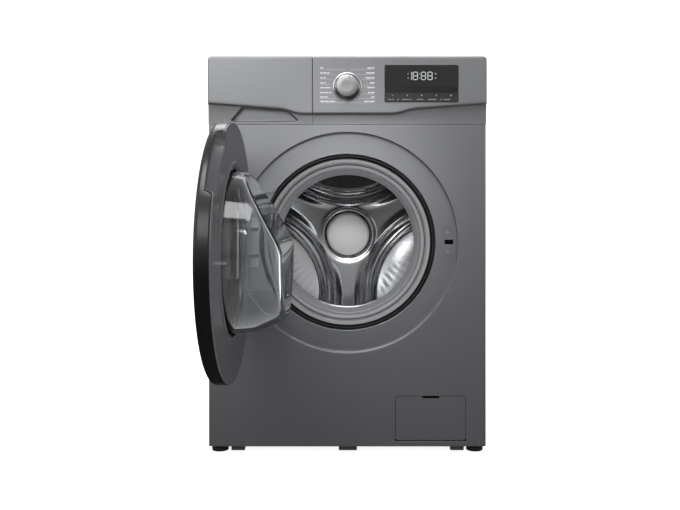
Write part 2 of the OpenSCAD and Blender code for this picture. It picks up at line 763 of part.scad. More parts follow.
module pump_filter() color(tub_white) translate([flap_x, pump_y, pump_z]) {
    difference() {
        union() {
            translate([0, -10, 0]) rod_y(cap_r, 10 - fit);
            // wing grip
            block([-cap_r * 0.8, -18, -4], [cap_r * 0.8, -9, 4]);
            translate([0, -fit - 1, 0]) rod_y(filter_r, 60);
        }
        // the cage is hollow, with slots for the water
        translate([0, 4, 0]) rod_y(filter_r - 2.5, 60);
        for (a = [0 : 60 : 300]) rotate([0, a, 0]) block([filter_r - 6, 12, -5], [filter_r + 2, 48, 5]);
    }
}

module service_flap() color(graphite) {
    difference() {
        union() {
            difference() {
                face_plate(flap_x - flap_w / 2, flap_z0, flap_x + flap_w / 2, flap_z0 + flap_h, 6,
                    front_y, front_y + 8);
                face_plate(flap_x - flap_w / 2 + 2.5, flap_z0 + 9, flap_x + flap_w / 2 - 2.5,
                    flap_z0 + flap_h - 2.5, 5, front_y + 2.5, front_y + 9);
            }
        }
        // grip slot at the top, lock side
        block([flap_x - 18, front_y - 1, flap_z0 + flap_h - 4.6],
            [flap_x + 18, front_y + 9, flap_z0 + flap_h + 1]);
        // round the lower back edge so that it can tip out
        block([flap_x - flap_w, flap_axis_y, flap_z0 - 1],
            [flap_x + flap_w, front_y + 9, flap_axis_z - 2.5]);
    }
    // pivots
    for (x = [flap_x - flap_w / 2 - 4, flap_x + flap_w / 2 - 1])
        translate([x, flap_axis_y, flap_axis_z]) rod_x(2, 5);
}

// ---------- door, drawn closed ----------

module hinge_notch()
    translate([-door_r - 6, -notch_half, -1]) cube([door_r + 6 - hinge_off + 22, 2 * notch_half,
        notch_deep + 1]);

// A piece of a ring between two angles
module arc_cut(r0, r1, z0, z1, from, to)
    rotate([0, 0, from]) rotate_extrude(angle = to - from) translate([r0, z0]) square([r1 - r0, z1 - z0]);

module door_outer_ring() color(black) on_door() difference() {
    rotate_extrude($fn = 180) polygon([
        [door_r - rim_wall, 3.2], [door_r - 1, 3.2], [door_r, 4.5], [door_r, door_t - 7],
        [door_r - 2, door_t - 3], [door_r - 6, door_t], [door_r - 30, door_t], [door_r - 30, door_t - 2],
        [door_r - 35, door_t - 2], [door_r - 35, door_t - 4], [door_r - rim_wall, door_t - 4]
    ]);
    hinge_notch();
    arc_cut(door_r - rim_wall - 1, door_r + 5, -1, scoop_deep, scoop_from, scoop_to);
}

module door_cover() color([0.08, 0.08, 0.09]) on_door() rotate_extrude($fn = 180) polygon(concat(
    [for (k = [0 : 10]) let (r = (door_r - 30.2) * k / 10) [r, door_t + 5 * (1 - k * k / 100)]],
    [for (k = [10 : -1 : 0]) let (r = (door_r - 30.2) * k / 10) [r, door_t - 2 + 4 * (1 - k * k / 100)]]
));

hook_slot = [20, 10];

module door_inner_frame() color(dark_grey) on_door() difference() {
    union() {
        difference() {
            union() {
                tube(glass_seat_r, door_r - 1.2, 0, 3);
                // wall that joins the frame to the cover
                tube(door_r - rim_wall - 4.5, door_r - rim_wall - 1.7, 2, door_t - 4.2);
                // seat round the glass
                tube(flange_r + 0.4, flange_r + 3.4, 2, 14);
            }
            hinge_notch();
            arc_cut(door_r - 30, door_r + 5, -1, door_t, scoop_from, scoop_to);
        }
        // finger scoop, pressed into the frame
        rotate([0, 0, scoop_from]) rotate_extrude(angle = scoop_to - scoop_from) polygon([
            [door_r - 31.5, 0.4], [door_r - 29, 0.4], [door_r - 20, scoop_deep - 1],
            [door_r - rim_wall - 0.2, scoop_deep], [door_r - rim_wall - 0.2, scoop_deep + 2.5],
            [door_r - 21, scoop_deep + 1.5], [door_r - 31.5, 2.4]
        ]);
        for (a = [scoop_from, scoop_to]) rotate([0, 0, a]) translate([door_r - 32, -1.2, 0.4])
            cube([31.8 - rim_wall, 2.4, scoop_deep + 2]);
        // bearings of the hook
        for (side = [-1, 1])
            translate([hook_x, side * 8, hook_s]) rotate([90, 0, 0]) translate([0, 0,
                -2.5]) cylinder(r = 5, h = 5);
        for (side = [-1, 1])
            translate([hook_x - 4.5, side * 8 - 2.5, 2]) cube([9, 5, hook_s - 2]);
    }
    translate([hook_x - hook_slot[0] / 2, -hook_slot[1] / 2, -1]) cube([hook_slot[0], hook_slot[1], 12]);
    translate([hook_x, 0, hook_s]) rotate([90, 0, 0]) cylinder(r = 2 + run_fit, h = 40, center = true);
    for (a = door_screw_angles) rotate([0, 0, a]) translate([screw_ring_r, 0, -1]) {
        cylinder(r = 3.7, h = 2.2);
        cylinder(r = 2 + run_fit, h = 5);
    }
}

door_screw_angles = [-11.5, 11.5, 100, 140, 220, 260];

module door_screws() color(steel) on_door()
    for (a = door_screw_angles) rotate([0, 0, a]) translate([screw_ring_r, 0, 1.2]) slotted_screw(2, 12,
        3.4, 1.1);

// Glass bowl: two cones that meet at the gasket's lip, cut by a plane so that the top slopes
slope_top_s = 22; // the slanting face starts this far from the door
slope_end_z = 13; // and ends here, above the axis
lip_s = 46 + door_gap;
lip_r = mouth_r - 0.4;
tip_r = mouth_r - 19;

module bowl_solid(shrink, rise) {
    steep = (bowl_r - slope_end_z) / (bowl_deep - slope_top_s);
    top = 200;
    intersection() {
        rotate([180, 0, 0]) rotate_extrude($fn = 180) polygon([
            [0, -rise], [bowl_r - shrink, -rise], [bowl_r - shrink, 0], [lip_r - shrink, lip_s],
            [tip_r + 1.5 - shrink, bowl_deep - 13 - shrink], [tip_r - 2 - shrink, bowl_deep - 4 - shrink],
            [tip_r - 9 - shrink, bowl_deep - shrink], [0, bowl_deep - shrink]
        ]);
        // everything below the slanting plane
        translate([0, -shrink * 1.2, shrink * 0.4]) rotate([0, -90, 0]) linear_extrude(400,
            center = true) polygon([
            [-bowl_deep - 20, -top], [rise + 20, -top], [rise + 20, top],
            [(top - bowl_r) / steep - slope_top_s, top],
            [-bowl_deep - 20, slope_end_z - 20 * steep]
        ]);
    }
}

module door_glass() color([0.75, 0.8, 0.82, 0.4]) on_door() difference() {
    union() {
        bowl_solid(0, 8);
        tube(bowl_r - glass_t, flange_r, 3.2, 8);
    }
    bowl_solid(glass_t, 12);
}

module door_hinge_arm() color(steel) difference() {
    union() {
        translate([-hinge_off, hinge_y, axis_z - 26]) cylinder(r = knuckle_r, h = 52);
        // plate inside the door
        block([-hinge_off, hinge_y - 2.5, axis_z - 26], [-hinge_off + 26, hinge_y + 2.5, axis_z + 26]);
        block([-hinge_off + 22, hinge_y - 2.5, axis_z - 70], [-flange_r - 6, hinge_y + 2.5, axis_z + 70]);
    }
    translate([-hinge_off, hinge_y, axis_z - 40]) cylinder(r = pin_r + run_fit, h = 80);
}

ear_gap = fit;
plate_x = throat_r + 13; // the bracket's edge, beside the gasket

module hinge_ear() linear_extrude(7) {
    translate([-hinge_off, hinge_y]) circle(r = knuckle_r);
    polygon([
        [-hinge_off + 4.5, hinge_y - 4], [-plate_x, front_y + pocket_deep - 2],
        [-plate_x - 22, front_y + pocket_deep - 2], [-hinge_off - 5, hinge_y + 3.3]
    ]);
}

module hinge_bracket() color(steel) difference() {
    union() {
        face_plate(-hinge_off - 3, axis_z - 56, -plate_x, axis_z + 56, 5,
            front_y + pocket_deep - 3, front_y + pocket_deep);
        translate([0, 0, axis_z + 26 + ear_gap]) hinge_ear();
        translate([0, 0, axis_z - 26 - ear_gap - 7]) hinge_ear();
    }
    translate([-hinge_off, hinge_y, axis_z - 40]) cylinder(r = pin_r + run_fit, h = 80);
}

module hinge_pin() color(zinc) translate([-hinge_off, hinge_y, axis_z - 34.5]) {
    cylinder(r = pin_r, h = 69);
    translate([0, 0, 68]) cylinder(r = pin_r + 1.5, h = 2);
}

module door_hook() color(steel) on_door() translate([hook_x, 0, hook_s]) rotate([90, 0, 0]) {
    // the pin lies along z here, and the hook reaches back towards the lock
    cylinder(r = 2, h = 20, center = true);
    translate([0, 0, -2]) linear_extrude(4) polygon([
        [-4, 4], [4, 4], [4, -27.5], [8, -30.5], [5, -35], [-1, -35], [-4, -29]
    ]);
}

module door_lock() color(black) difference() {
    block([hook_x - 18, front_y + recess_deep + sheet_t, axis_z - 38],
        [hook_x + 18, front_y + recess_deep + sheet_t + 40, axis_z + 38]);
    // room for the hook, wider on the side that its barb swings to
    block([hook_x - 10, front_y + recess_deep, axis_z - 6],
        [hook_x + 12.5, front_y + recess_deep + 26, axis_z + 6]);
    for (side = [-1, 1])
        translate([hook_x - 3, front_y + recess_deep, axis_z + side * 21.5]) rod_y(2 + run_fit, 8);
}

// ---------- gasket ----------

module door_gasket() color(rubber_grey) along_axis() rotate_extrude($fn = 180) polygon([
    [throat_r + 11, pocket_deep - 0.2], [throat_r + 11, pocket_deep - 3.5],
        [throat_r + 2.5, pocket_deep - 3.5],
    [throat_r + 2.5, 13.5], [throat_r, 12], [throat_r - 6, 12], [throat_r - 8, 14], [throat_r - 9, 18],
    [throat_r - 11, 18], [throat_r - 12.5, 16], [throat_r - 19, 17.5], [throat_r - 21.5, 22],
    [throat_r - 22.5, 27], [throat_r - 24.5, 27.5], [throat_r - 27, 33], [mouth_r + 1, 43], [mouth_r, 46],
    [mouth_r + 1, 49.5], [mouth_r + 5, 52.5], [collar_r + 0.2, 52.5], [collar_r + 0.2, tub_face - 0.5],
    [collar_r + 3.4, tub_face - 0.5], [collar_r + 3.4, 49.5], [mouth_r + 11, 49.5], [mouth_r + 5, 44.5],
    [throat_r - 23.5, 34], [throat_r - 19.5, 30], [throat_r - 18, 24], [throat_r - 16, 20.5],
    [throat_r - 12, 20], [throat_r - 9, 21.5], [throat_r - 5.5, 21], [throat_r - 4.5, 15.5],
    [throat_r - 1, 15.5], [throat_r - 0.5, pocket_deep - 0.2]
]);

module gasket_clamp() color(black) along_axis()
    translate([0, 0, pocket_deep - 6.2]) rotate_extrude($fn = 180) translate([throat_r + 6.8,
        0]) circle(r = 2.4, $fn = 32);

// ---------- tub ----------

module tub_front() color(tub_white) along_axis() difference() {
    union() {
        rotate_extrude($fn = 180) polygon([
            [collar_r - 4, 56], [collar_r, 56], [collar_r, tub_face], [tub_ro, tub_face],
                [tub_ro, tub_seam - 6],
            [tub_flange_r, tub_seam - 6], [tub_flange_r, tub_seam], [tub_ri, tub_seam],
            [tub_ri, tub_face + tub_t], [collar_r - 4, tub_face + tub_t]
        ]);
        // ribs along the wall
        for (a = [0 : 30 : 330]) at_angle(a + 15)
            translate([tub_ro - 1, -1.5, tub_face + 6]) cube([9, 3, tub_seam - tub_face - 10]);
        // outlet to the sump hose
        translate([sump_x, tub_ri - 12, sump_y - front_y]) rotate([-90, 0, 0]) cylinder(r = 18.5, h = 45);
    }
    disc(tub_ri, tub_face + tub_t, tub_seam + 1);
    translate([sump_x, tub_ri - 30, sump_y - front_y]) rotate([-90, 0, 0]) cylinder(r = 15.5, h = 80);
    block(heater_plug[0], heater_plug[1]);
}

module tub_rear() color(tub_white) along_axis() difference() {
    union() {
        rotate_extrude($fn = 180) polygon([
            [tub_ri, tub_seam], [tub_flange_r, tub_seam], [tub_flange_r, tub_seam + 6],
                [tub_ro, tub_seam + 6],
            [tub_ro, tub_back + 6], [48, tub_back + 6], [44, boss_end], [shaft_r + 8, boss_end],
            [shaft_r + 8, tub_back], [tub_ri, tub_back]
        ]);
        for (a = [0 : 30 : 330]) at_angle(a) rotate([90, 0, 0]) translate([0, 0, -1.5])
            linear_extrude(3) polygon([[42, tub_back + 5], [tub_ro - 4, tub_back + 5],
                [tub_ro - 30, tub_back + 14], [42, tub_back + 40]]);
        for (a = [0 : 30 : 330]) at_angle(a + 15)
            translate([tub_ro - 1, -1.5, tub_seam + 4]) cube([9, 3, tub_back - tub_seam - 4]);
        // lugs that the springs hook into
        for (side = [-1, 1]) translate([side * spring_x, axis_z - spring_z0 + 6, spring_y - front_y]) {
            translate([side > 0 ? -lug_len : -10, -2, -9]) cube([lug_len + 10, 16, 18]);
        }
        // lugs that the dampers and the motor hang on
        for (x = [-damper_x, damper_x], side = [-1, 1])
            block([x - 12, axis_z - damper_z1 - 80, damper_y - front_y + side * 15 - 2.5],
                [x + 12, axis_z - damper_z1 + 8, damper_y - front_y + side * 15 + 2.5]);
        // spigot for the hose from the dispenser
        translate([spout_x, -fill_h - 34, spout_y - front_y]) rotate([-90, 0, 0]) cylinder(r = 15.8,
            h = 50);
        for (x = [-52, 52])
            block([x - 7, tub_ri - 14, motor_y0 - front_y + 14],
                [x + 7, axis_z - motor_z + 8, motor_y0 - front_y + 94]);
    }
    disc(tub_ri, tub_seam - 1, tub_back);
    translate([spout_x, -fill_h - 35, spout_y - front_y]) rotate([-90, 0, 0]) cylinder(r = 13, h = 60);
    disc(bearing_r1, tub_back + 8, tub_back + 24);
    disc(bearing_r2, boss_end - 15, boss_end + 1);
    for (side = [-1, 1]) translate([side * spring_x, axis_z - spring_z0 - 1, spring_y - front_y])
        rotate([-90, 0, 0]) cylinder(r = 3.2, h = 30);
    for (x = [-damper_x, damper_x])
        translate([x, axis_z - damper_z1, damper_y - front_y - 25]) cylinder(r = pivot_r + run_fit, h = 50);
    translate([0, axis_z - motor_z, motor_y0 - front_y - 5]) cylinder(r = motor_r + 0.2, h = 140);
}

bearing_r1 = 31;
bearing_r2 = 26;

module bearing(ri, ro, z0, z1) {
    tube(ri, ri + 4, z0, z1);
    tube(ro - 4, ro, z0, z1);
    tube(ri + 4, ro - 4, z0 + 1, z1 - 1);
}

module drum_bearings() color(steel) along_axis() {
    bearing(shaft_r + run_fit, bearing_r1 - run_fit, tub_back + 8, tub_back + 24);
    bearing(shaft_end_r + run_fit, bearing_r2 - run_fit, boss_end - 15, boss_end);
}

// Ballast: two arcs round the door's opening and a block on top
weight_from = fascia_back + 2;

module counterweights() color(ballast_grey) {
    along_axis() for (a = [35, 215]) at_angle(a) mirror([0, 1, 0])
        arc_cut(step_r + 7, tub_ro + 3, weight_from, tub_face, 0, 110);
    top_z = axis_z + tub_flange_r + 9;
    difference() {
        block([-70, front_y + 176, axis_z + tub_ro - 24], [118, front_y + 322, top_z + 26]);
        along_axis() disc(tub_ro + 9, 100, 400);
    }
}

heater_plug = [[-30, tub_ri - 11.5, tub_face], [30, tub_ri - 3, tub_face + 24]];

module heater() color(steel) along_axis() {
    // two rods that lie between the drum and the bottom of the tub, in a plug through its front
    rod_at = tub_ri - 7;
    block(heater_plug[0], heater_plug[1]);
    for (x = [-22, 22]) translate([x, sqrt(rod_at * rod_at - x * x), tub_face + 23]) cylinder(r = 3.2,
        h = 150);
}

module damper_cylinders() color(zinc) for (x = [-damper_x, damper_x]) translate([x, damper_y, damper_z0]) {
    difference() {
        union() {
            translate([0, -12, 0]) rod_y(10, 24);
            translate([0, 0, 5]) cylinder(r = damper_r, h = 95);
        }
        translate([0, 0, 14]) cylinder(r = rod_r + fit, h = 100);
        translate([0, -20, 0]) rod_y(pivot_r + run_fit, 40);
    }
    translate([0, -17.6, 0]) rod_y(pivot_r, 35.2);
}

module damper_rods() color(steel) for (x = [-damper_x, damper_x]) translate([x, damper_y, 0]) {
    difference() {
        union() {
            translate([0, 0, damper_z0 + 34]) cylinder(r = rod_r, h = damper_z1 - damper_z0 - 39);
            translate([0, -12, damper_z1]) rod_y(9, 24);
        }
        translate([0, -20, damper_z1]) rod_y(pivot_r + run_fit, 40);
    }
    translate([0, -17.6, damper_z1]) rod_y(pivot_r, 35.2);
}

module suspension_springs() color(steel) for (x = [-spring_x, spring_x]) translate([x, spring_y, 0]) {
    coil_z0 = spring_z0 + 22;
    coil_z1 = spring_z1 - 18;
    translate([0, 0, coil_z0]) difference() {
        cylinder(r = coil_r, h = coil_z1 - coil_z0);
        translate([0, 0, 2]) cylinder(r = coil_r - 2 * wire_r, h = coil_z1 - coil_z0 - 4);
    }
    // straight ends that hook into the lug and the brace
    translate([0, 0, spring_z0 - 24]) cylinder(r = wire_r, h = coil_z0 - spring_z0 + 25);
    translate([0, 0, spring_z0 - 26]) cylinder(r = 6, h = 3);
    translate([0, 0, coil_z1 - 1]) cylinder(r = wire_r, h = spring_z1 - coil_z1 + 21);
    translate([0, 0, spring_z1 + 17]) cylinder(r = 6, h = 3);
}

// ---------- motor and belt ----------

module motor_stator() color(zinc) translate([0, motor_y0, motor_z]) difference() {
    union() {
        rod_y(motor_r - 6, motor_y1 - motor_y0);
        translate([0, 16, 0]) rod_y(motor_r, motor_y1 - motor_y0 - 32);
    }
    translate([0, 12, 0]) rod_y(34, motor_y1 - motor_y0 - 24);
    translate([0, -1, 0]) rod_y(7 + run_fit, motor_y1 - motor_y0 + 2);
}

module motor_rotor() color(steel) translate([0, motor_y0, motor_z]) {
    translate([0, 20, 0]) rod_y(32, motor_y1 - motor_y0 - 40);
    translate([0, -4, 0]) rod_y(7, front_y + belt_at + belt_w + 6 - motor_y0 + 4);
    translate([0, front_y + belt_at - motor_y0, 0]) rod_y(motor_pulley_r, belt_w);
    for (y = [0, belt_w - 2])
        translate([0, front_y + belt_at - motor_y0 + y, 0]) rod_y(motor_pulley_r + (y > 0 ? 4 : 0),
            y > 0 ? 2 : 1);
}

belt_in = 0.3;
belt_t = 3.6;

// Outline of a loop round two wheels
module loop_plan(r1, r2, dist) {
    a = asin((r1 - r2) / dist);
    circle(r = r1);
    translate([0, dist]) circle(r = r2);
    polygon([
        [-r1 * cos(a), r1 * sin(a)], [r1 * cos(a), r1 * sin(a)],
        [r2 * cos(a), dist + r2 * sin(a)], [-r2 * cos(a), dist + r2 * sin(a)]
    ]);
}

module drive_belt() color(black) along_axis() translate([0, 0,
    belt_at + 2]) linear_extrude(belt_w - 5) difference() {
    loop_plan(pulley_r + belt_in + belt_t, motor_pulley_r + belt_in + belt_t, axis_z - motor_z);
    loop_plan(pulley_r + belt_in, motor_pulley_r + belt_in, axis_z - motor_z);
}

module drum_pulley() color(zinc) along_axis() difference() {
    union() {
        tube(pulley_r - 7, pulley_r, belt_at, belt_at + belt_w);
        tube(shaft_end_r + run_fit, 28, belt_at - 3, belt_at + belt_w);
        for (a = [0 : 60 : 300]) rotate([0, 0, a]) translate([24, -7, belt_at + 5]) cube([pulley_r - 29,
            14, 6]);
    }
}

// ---------- drum ----------

module drum_wall() color(steel) along_axis() rotate_extrude($fn = 180) polygon([
    [drum_ri + 1, drum_back + 1], [drum_ri + 1, drum_face + 10], [drum_ri - 7, drum_face],
        [drum_mouth_r + 4, drum_face],
    [drum_mouth_r, drum_face + 3], [drum_mouth_r, drum_face + 10], [drum_mouth_r + 1, drum_face + 10],
    [drum_mouth_r + 1, drum_face + 4], [drum_mouth_r + 4.5, drum_face + 1], [drum_ri - 7.4, drum_face + 1],
    [drum_ri, drum_face + 10.4], [drum_ri, drum_back + 1]
]);

// Three-armed star: what three circles leave of a disc
module star_plan(grow) difference() {
    circle(r = drum_ri - 8 + grow);
    for (a = lifter_angles) rotate([0, 0, -a]) translate([star_c, 0]) circle(r = star_r - grow);
}

module drum_rear_wall() color(steel) along_axis() difference() {
    union() {
        disc(drum_ri - 0.1, drum_back, drum_back + 1);
        translate([0, 0, plateau]) linear_extrude(drum_back - plateau + 1) star_plan(1);
    }
    translate([0, 0, plateau + 1]) linear_extrude(drum_back - plateau + 1) star_plan(0);
    disc(shaft_r + 0.2, plateau - 1, plateau + 3);
}

module hub_cap() color(steel) along_axis() rotate_extrude() polygon([
    [0, plateau - 6], [50, plateau - 6], [53, plateau - 4], [53.5, plateau - fit], [49, plateau - fit],
    [48, plateau - 3], [0, plateau - 3]
]);

module drum_lifters() color(steel) along_axis() for (a = lifter_angles) at_angle(a) rotate([0, 0, -90]) {
    base = drum_ri - 4;
    translate([0, 0, drum_face + 28]) linear_extrude(drum_back - drum_face - 50) difference() {
        union() {
            polygon([[-32, base], [32, base], [11, base - lifter_h], [-11, base - lifter_h]]);
            translate([0, base - lifter_h]) circle(r = 11);
        }
        polygon([[-27, base + 1], [27, base + 1], [8, base - lifter_h], [-8, base - lifter_h]]);
    }
}

module drum_spider() color(zinc) along_axis() {
    disc(42, drum_back + 3, drum_back + 26);
    for (a = arm_angles) at_angle(a) spider_arm();
    disc(shaft_r, drum_back + 2, tub_back + 26);
    disc(shaft_end_r, tub_back + 26, belt_at + belt_w + 6);
}

module spider_arm() translate([0, 0, drum_back + 5]) linear_extrude(18)
    polygon([[30, -24], [drum_ri - 12, -13], [drum_ri - 12, 13], [30, 24]]);

// ---------- every node ----------

front_panel();
cabinet_wrap();
rear_cover();
worktop();
base_tray();
fascia();
display_window();
control_board();
dispenser_housing();
inlet_valve();
fixed_hoses();
flexing_hoses();
top_braces();
hinge_bracket();
hinge_pin();
door_lock();
cabinet_fasteners();
door_gasket();
gasket_clamp();
drain_pump();
suspension_springs();
damper_cylinders();
mains_gland();
foot(-foot_x, -foot_y);  // foot_front_left
foot(foot_x, -foot_y);  // foot_front_right
foot(-foot_x, foot_y);  // foot_rear_left
foot(foot_x, foot_y);  // foot_rear_right
door_swing() door_outer_ring();
door_swing() door_cover();
door_swing() door_inner_frame();
door_swing() door_glass();
door_swing() door_hinge_arm();
door_swing() door_screws();
door_swing() door_hook();
drawer_front();
drawer_tray();
selector_knob();
option_button(0);  // option_button_1
option_button(1);  // option_button_2
option_button(2);  // option_button_3
option_button(3);  // option_button_4
option_button(4);  // option_button_5
service_flap();
pump_filter();
pump_impeller();
tub_front();
tub_rear();
counterweights();
heater();
damper_rods();
drum_bearings();
drive_belt();
motor_stator();
drum_wall();
drum_rear_wall();
drum_lifters();
drum_spider();
drum_pulley();
hub_cap();
motor_rotor();
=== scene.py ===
# Looks of the front load washing machine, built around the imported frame.
# Shapes are worked out in millimetres and stored in metres.
import math

import bmesh
import bpy
import numpy as np
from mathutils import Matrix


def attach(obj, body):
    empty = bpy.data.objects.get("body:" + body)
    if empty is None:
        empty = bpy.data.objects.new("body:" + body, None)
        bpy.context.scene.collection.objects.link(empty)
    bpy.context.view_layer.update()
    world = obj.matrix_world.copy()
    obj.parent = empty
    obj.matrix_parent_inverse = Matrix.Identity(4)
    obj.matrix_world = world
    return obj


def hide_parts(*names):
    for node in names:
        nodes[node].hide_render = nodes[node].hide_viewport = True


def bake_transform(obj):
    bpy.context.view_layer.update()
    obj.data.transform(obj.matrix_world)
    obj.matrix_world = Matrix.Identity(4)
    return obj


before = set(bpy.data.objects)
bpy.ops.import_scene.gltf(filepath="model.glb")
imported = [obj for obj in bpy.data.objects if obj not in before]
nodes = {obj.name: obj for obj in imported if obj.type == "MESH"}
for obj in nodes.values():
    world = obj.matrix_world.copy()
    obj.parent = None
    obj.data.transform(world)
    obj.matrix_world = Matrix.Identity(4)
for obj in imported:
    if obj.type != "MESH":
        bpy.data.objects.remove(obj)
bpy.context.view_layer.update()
mm = 0.001
axisZ, frontY = 452, -240  # height of the drum's axis, and depth of the front panel's outer face
print("frame loaded,", len(nodes), "nodes")

view = {"place": (0.010, -2.040, 0.5796), "lens": 44.47, "shift": (-0.01765, -0.1059)}
cameraData = bpy.data.cameras.new("studioCamera")
cameraData.lens = view["lens"]
cameraData.sensor_width = 36
cameraData.shift_x, cameraData.shift_y = view["shift"]
camera = bpy.data.objects.new("studioCamera", cameraData)
camera.location = view["place"]
camera.rotation_euler = (math.pi / 2, 0, 0)
bpy.context.scene.collection.objects.link(camera)
bpy.context.scene.camera = camera
print("camera set")

class Value:
    # wraps an output socket, so that arithmetic on it adds Math nodes
    def __init__(self, finish, socket):
        self.finish, self.socket = finish, socket

    def __add__(self, other):
        return self.finish.maths("ADD", self, other)

    def __sub__(self, other):
        return self.finish.maths("SUBTRACT", self, other)

    def __rsub__(self, other):
        return self.finish.maths("SUBTRACT", other, self)

    def __mul__(self, other):
        return self.finish.maths("MULTIPLY", self, other)

    def __mod__(self, other):
        return self.finish.maths("FLOORED_MODULO", self, other)

    def __lt__(self, other):
        return self.finish.maths("LESS_THAN", self, other)

    def __gt__(self, other):
        return self.finish.maths("GREATER_THAN", self, other)

    __radd__ = __add__
    __rmul__ = __mul__


class Finish:
    def __init__(self, name, constants):
        self.material = bpy.data.materials.new(name)
        self.material.use_nodes = True
        self.tree = self.material.node_tree
        self.shader = self.tree.nodes["Principled BSDF"]
        self.place = self.node("ShaderNodeTexCoord", out="Object")
        self.surface(constants)

    def surface(self, values):
        for socket, value in values.items():
            self.feed(self.shader.inputs[socket], value)

    def feed(self, socket, value):
        if isinstance(value, Value):
            self.tree.links.new(value.socket, socket)
        else:
            socket.default_value = value

    def node(self, kind, settings=None, feeds=None, out=0):
        made = self.tree.nodes.new(kind)
        for name, value in (settings or {}).items():
            if name == "stops":
                ramp = made.color_ramp
                while len(ramp.elements) < len(value):
                    ramp.elements.new(0.5)
                for element, (at, colour) in zip(ramp.elements, value):
                    element.position, element.color = at, colour
            else:
                setattr(made, name, value)
        for socket, value in (feeds or {}).items():
            self.feed(made.inputs[socket], value)
        return Value(self, made.outputs[out])

    def maths(self, operation, *values):
        return self.node("ShaderNodeMath", {"operation": operation}, dict(enumerate(values)))

    def noise(self, scale, detail=2, at=None):
        feeds = {"Vector": at or self.place, "Scale": scale, "Detail": detail}
        return self.node("ShaderNodeTexNoise", None, feeds)

    def mapped(self, scale=(1, 1, 1), shift=(0, 0, 0), at=None):
        feeds = {"Vector": at or self.place, "Scale": scale, "Location": shift}
        return self.node("ShaderNodeMapping", None, feeds)

    def axes(self, at=None):
        split = self.node("ShaderNodeSeparateXYZ", None, {0: at or self.place})
        outputs = split.socket.node.outputs
        return [Value(self, outputs[k]) for k in range(3)]

    def mix(self, factor, a, b):
        return self.node("ShaderNodeMix", {"data_type": "RGBA"}, {0: factor, 6: a, 7: b}, out=2)

    def bump(self, height, distance, strength=1.0):
        feeds = {"Height": height, "Distance": distance, "Strength": strength}
        self.surface({"Normal": self.node("ShaderNodeBump", None, feeds)})


def tone(*srgb):
    # colour as an eye reads it, 0 to 255, turned into the linear numbers a shader takes
    c = np.array(srgb if len(srgb) == 3 else srgb * 3, float) / 255
    linear = np.where(c <= 0.04045, c / 12.92, ((c + 0.055) / 1.055) ** 2.4)
    return (*[float(v) for v in linear], 1.0)


def shade(colour, factor):
    return (*[v * factor for v in colour[:3]], 1.0)


def moulded(name, colour, roughness, metallic=0.0, coat=0.0, spread=0.08, blotch=7, grain=900,
            grainDeep=0.00003, roughSpread=0.08):
    # plastic, rubber or paint: faint cloudiness, a fine grain and a roughness that wanders
    finish = Finish(name, {"Metallic": metallic, "Coat Weight": coat, "Coat Roughness": 0.12})
    cloud, fine = finish.noise(blotch, 3), finish.noise(grain, 2)
    blend = cloud * 0.55 + fine * 0.45
    finish.surface({
        "Base Color": finish.mix(blend, shade(colour, 1 - spread), shade(colour, 1 + spread)),
        "Roughness": roughness - roughSpread / 2 + cloud * roughSpread,
    })
    finish.bump(fine, grainDeep)
    return finish


def brushed(name, colour, roughness, along=(6, 900, 900), spread=0.14, deep=0.00002):
    # metal with fine lines, drawn out along one axis by the coordinates' scale
    finish = Finish(name, {"Metallic": 1.0})
    lines = finish.noise(1, 3, finish.mapped(along))
    cloud = finish.noise(9, 2)
    ends = shade(colour, 1 - spread), shade(colour, 1 + spread)
    finish.surface({
        "Base Color": finish.mix(lines * 0.6 + cloud * 0.4, *ends),
        "Roughness": roughness + lines * 0.12 + cloud * 0.06,
    })
    finish.bump(lines, deep)
    return finish


def flakePaint(name, colour, roughness, metallic=0.9):
    # graphite enamel: metal flakes under a clear satin coat with a little orange peel
    finish = Finish(name, {"Metallic": metallic, "Coat Weight": 0.25, "Coat Roughness": 0.25})
    flakes, cloud, peel = finish.noise(4200, 1), finish.noise(3, 2), finish.noise(260, 2)
    finish.surface({
        "Base Color": finish.mix(flakes * 0.7 + cloud * 0.3, shade(colour, 0.86), shade(colour, 1.14)),
        "Roughness": roughness + cloud * 0.05 + flakes * 0.04,
    })
    finish.bump(peel, 0.00002)
    return finish


def zincSheet(name, colour):
    # galvanised sheet: spangles are Voronoi cells, each with a grey of its own
    finish = Finish(name, {"Metallic": 0.9})
    cells = finish.node("ShaderNodeTexVoronoi", None, {"Vector": finish.place, "Scale": 90})
    spangle = finish.node("ShaderNodeTexVoronoi", None, {"Vector": finish.place, "Scale": 90}, out="Color")
    grey = finish.node("ShaderNodeRGBToBW", None, {0: spangle})
    finish.surface({
        "Base Color": finish.mix(grey, shade(colour, 0.9), shade(colour, 1.06)),
        "Roughness": 0.34 + grey * 0.2,
    })
    finish.bump(cells, 0.00002)
    return finish


def spunMetal(name, colour, centre, ringRate=9000):
    # turned metal: rings about the piece's own axis, which runs along Y
    finish = Finish(name, {"Metallic": 1.0})
    x, _, z = finish.axes(finish.mapped(shift=(-centre[0] * mm, 0, -centre[1] * mm)))
    radius = finish.maths("SQRT", x * x + z * z)
    rings = finish.maths("SINE", radius * ringRate)
    cloud = finish.noise(40, 2)
    finish.surface({
        "Base Color": finish.mix(cloud, shade(colour, 0.93), shade(colour, 1.06)),
        "Roughness": 0.3 + rings * 0.03,
    })
    finish.bump(rings, 0.000004, 0.5)
    return finish


def polishedSteel(name, colour, roughness=0.12):
    # pressed stainless, bright, with faint drawing marks and cloudiness
    finish = Finish(name, {"Metallic": 1.0})
    cloud, marks = finish.noise(14, 3), finish.noise(1, 2, finish.mapped((30, 30, 700)))
    finish.surface({
        "Base Color": finish.mix(cloud, shade(colour, 0.95), shade(colour, 1.05)),
        "Roughness": roughness + marks * 0.05 + cloud * 0.04,
    })
    finish.bump(marks, 0.000004)
    return finish


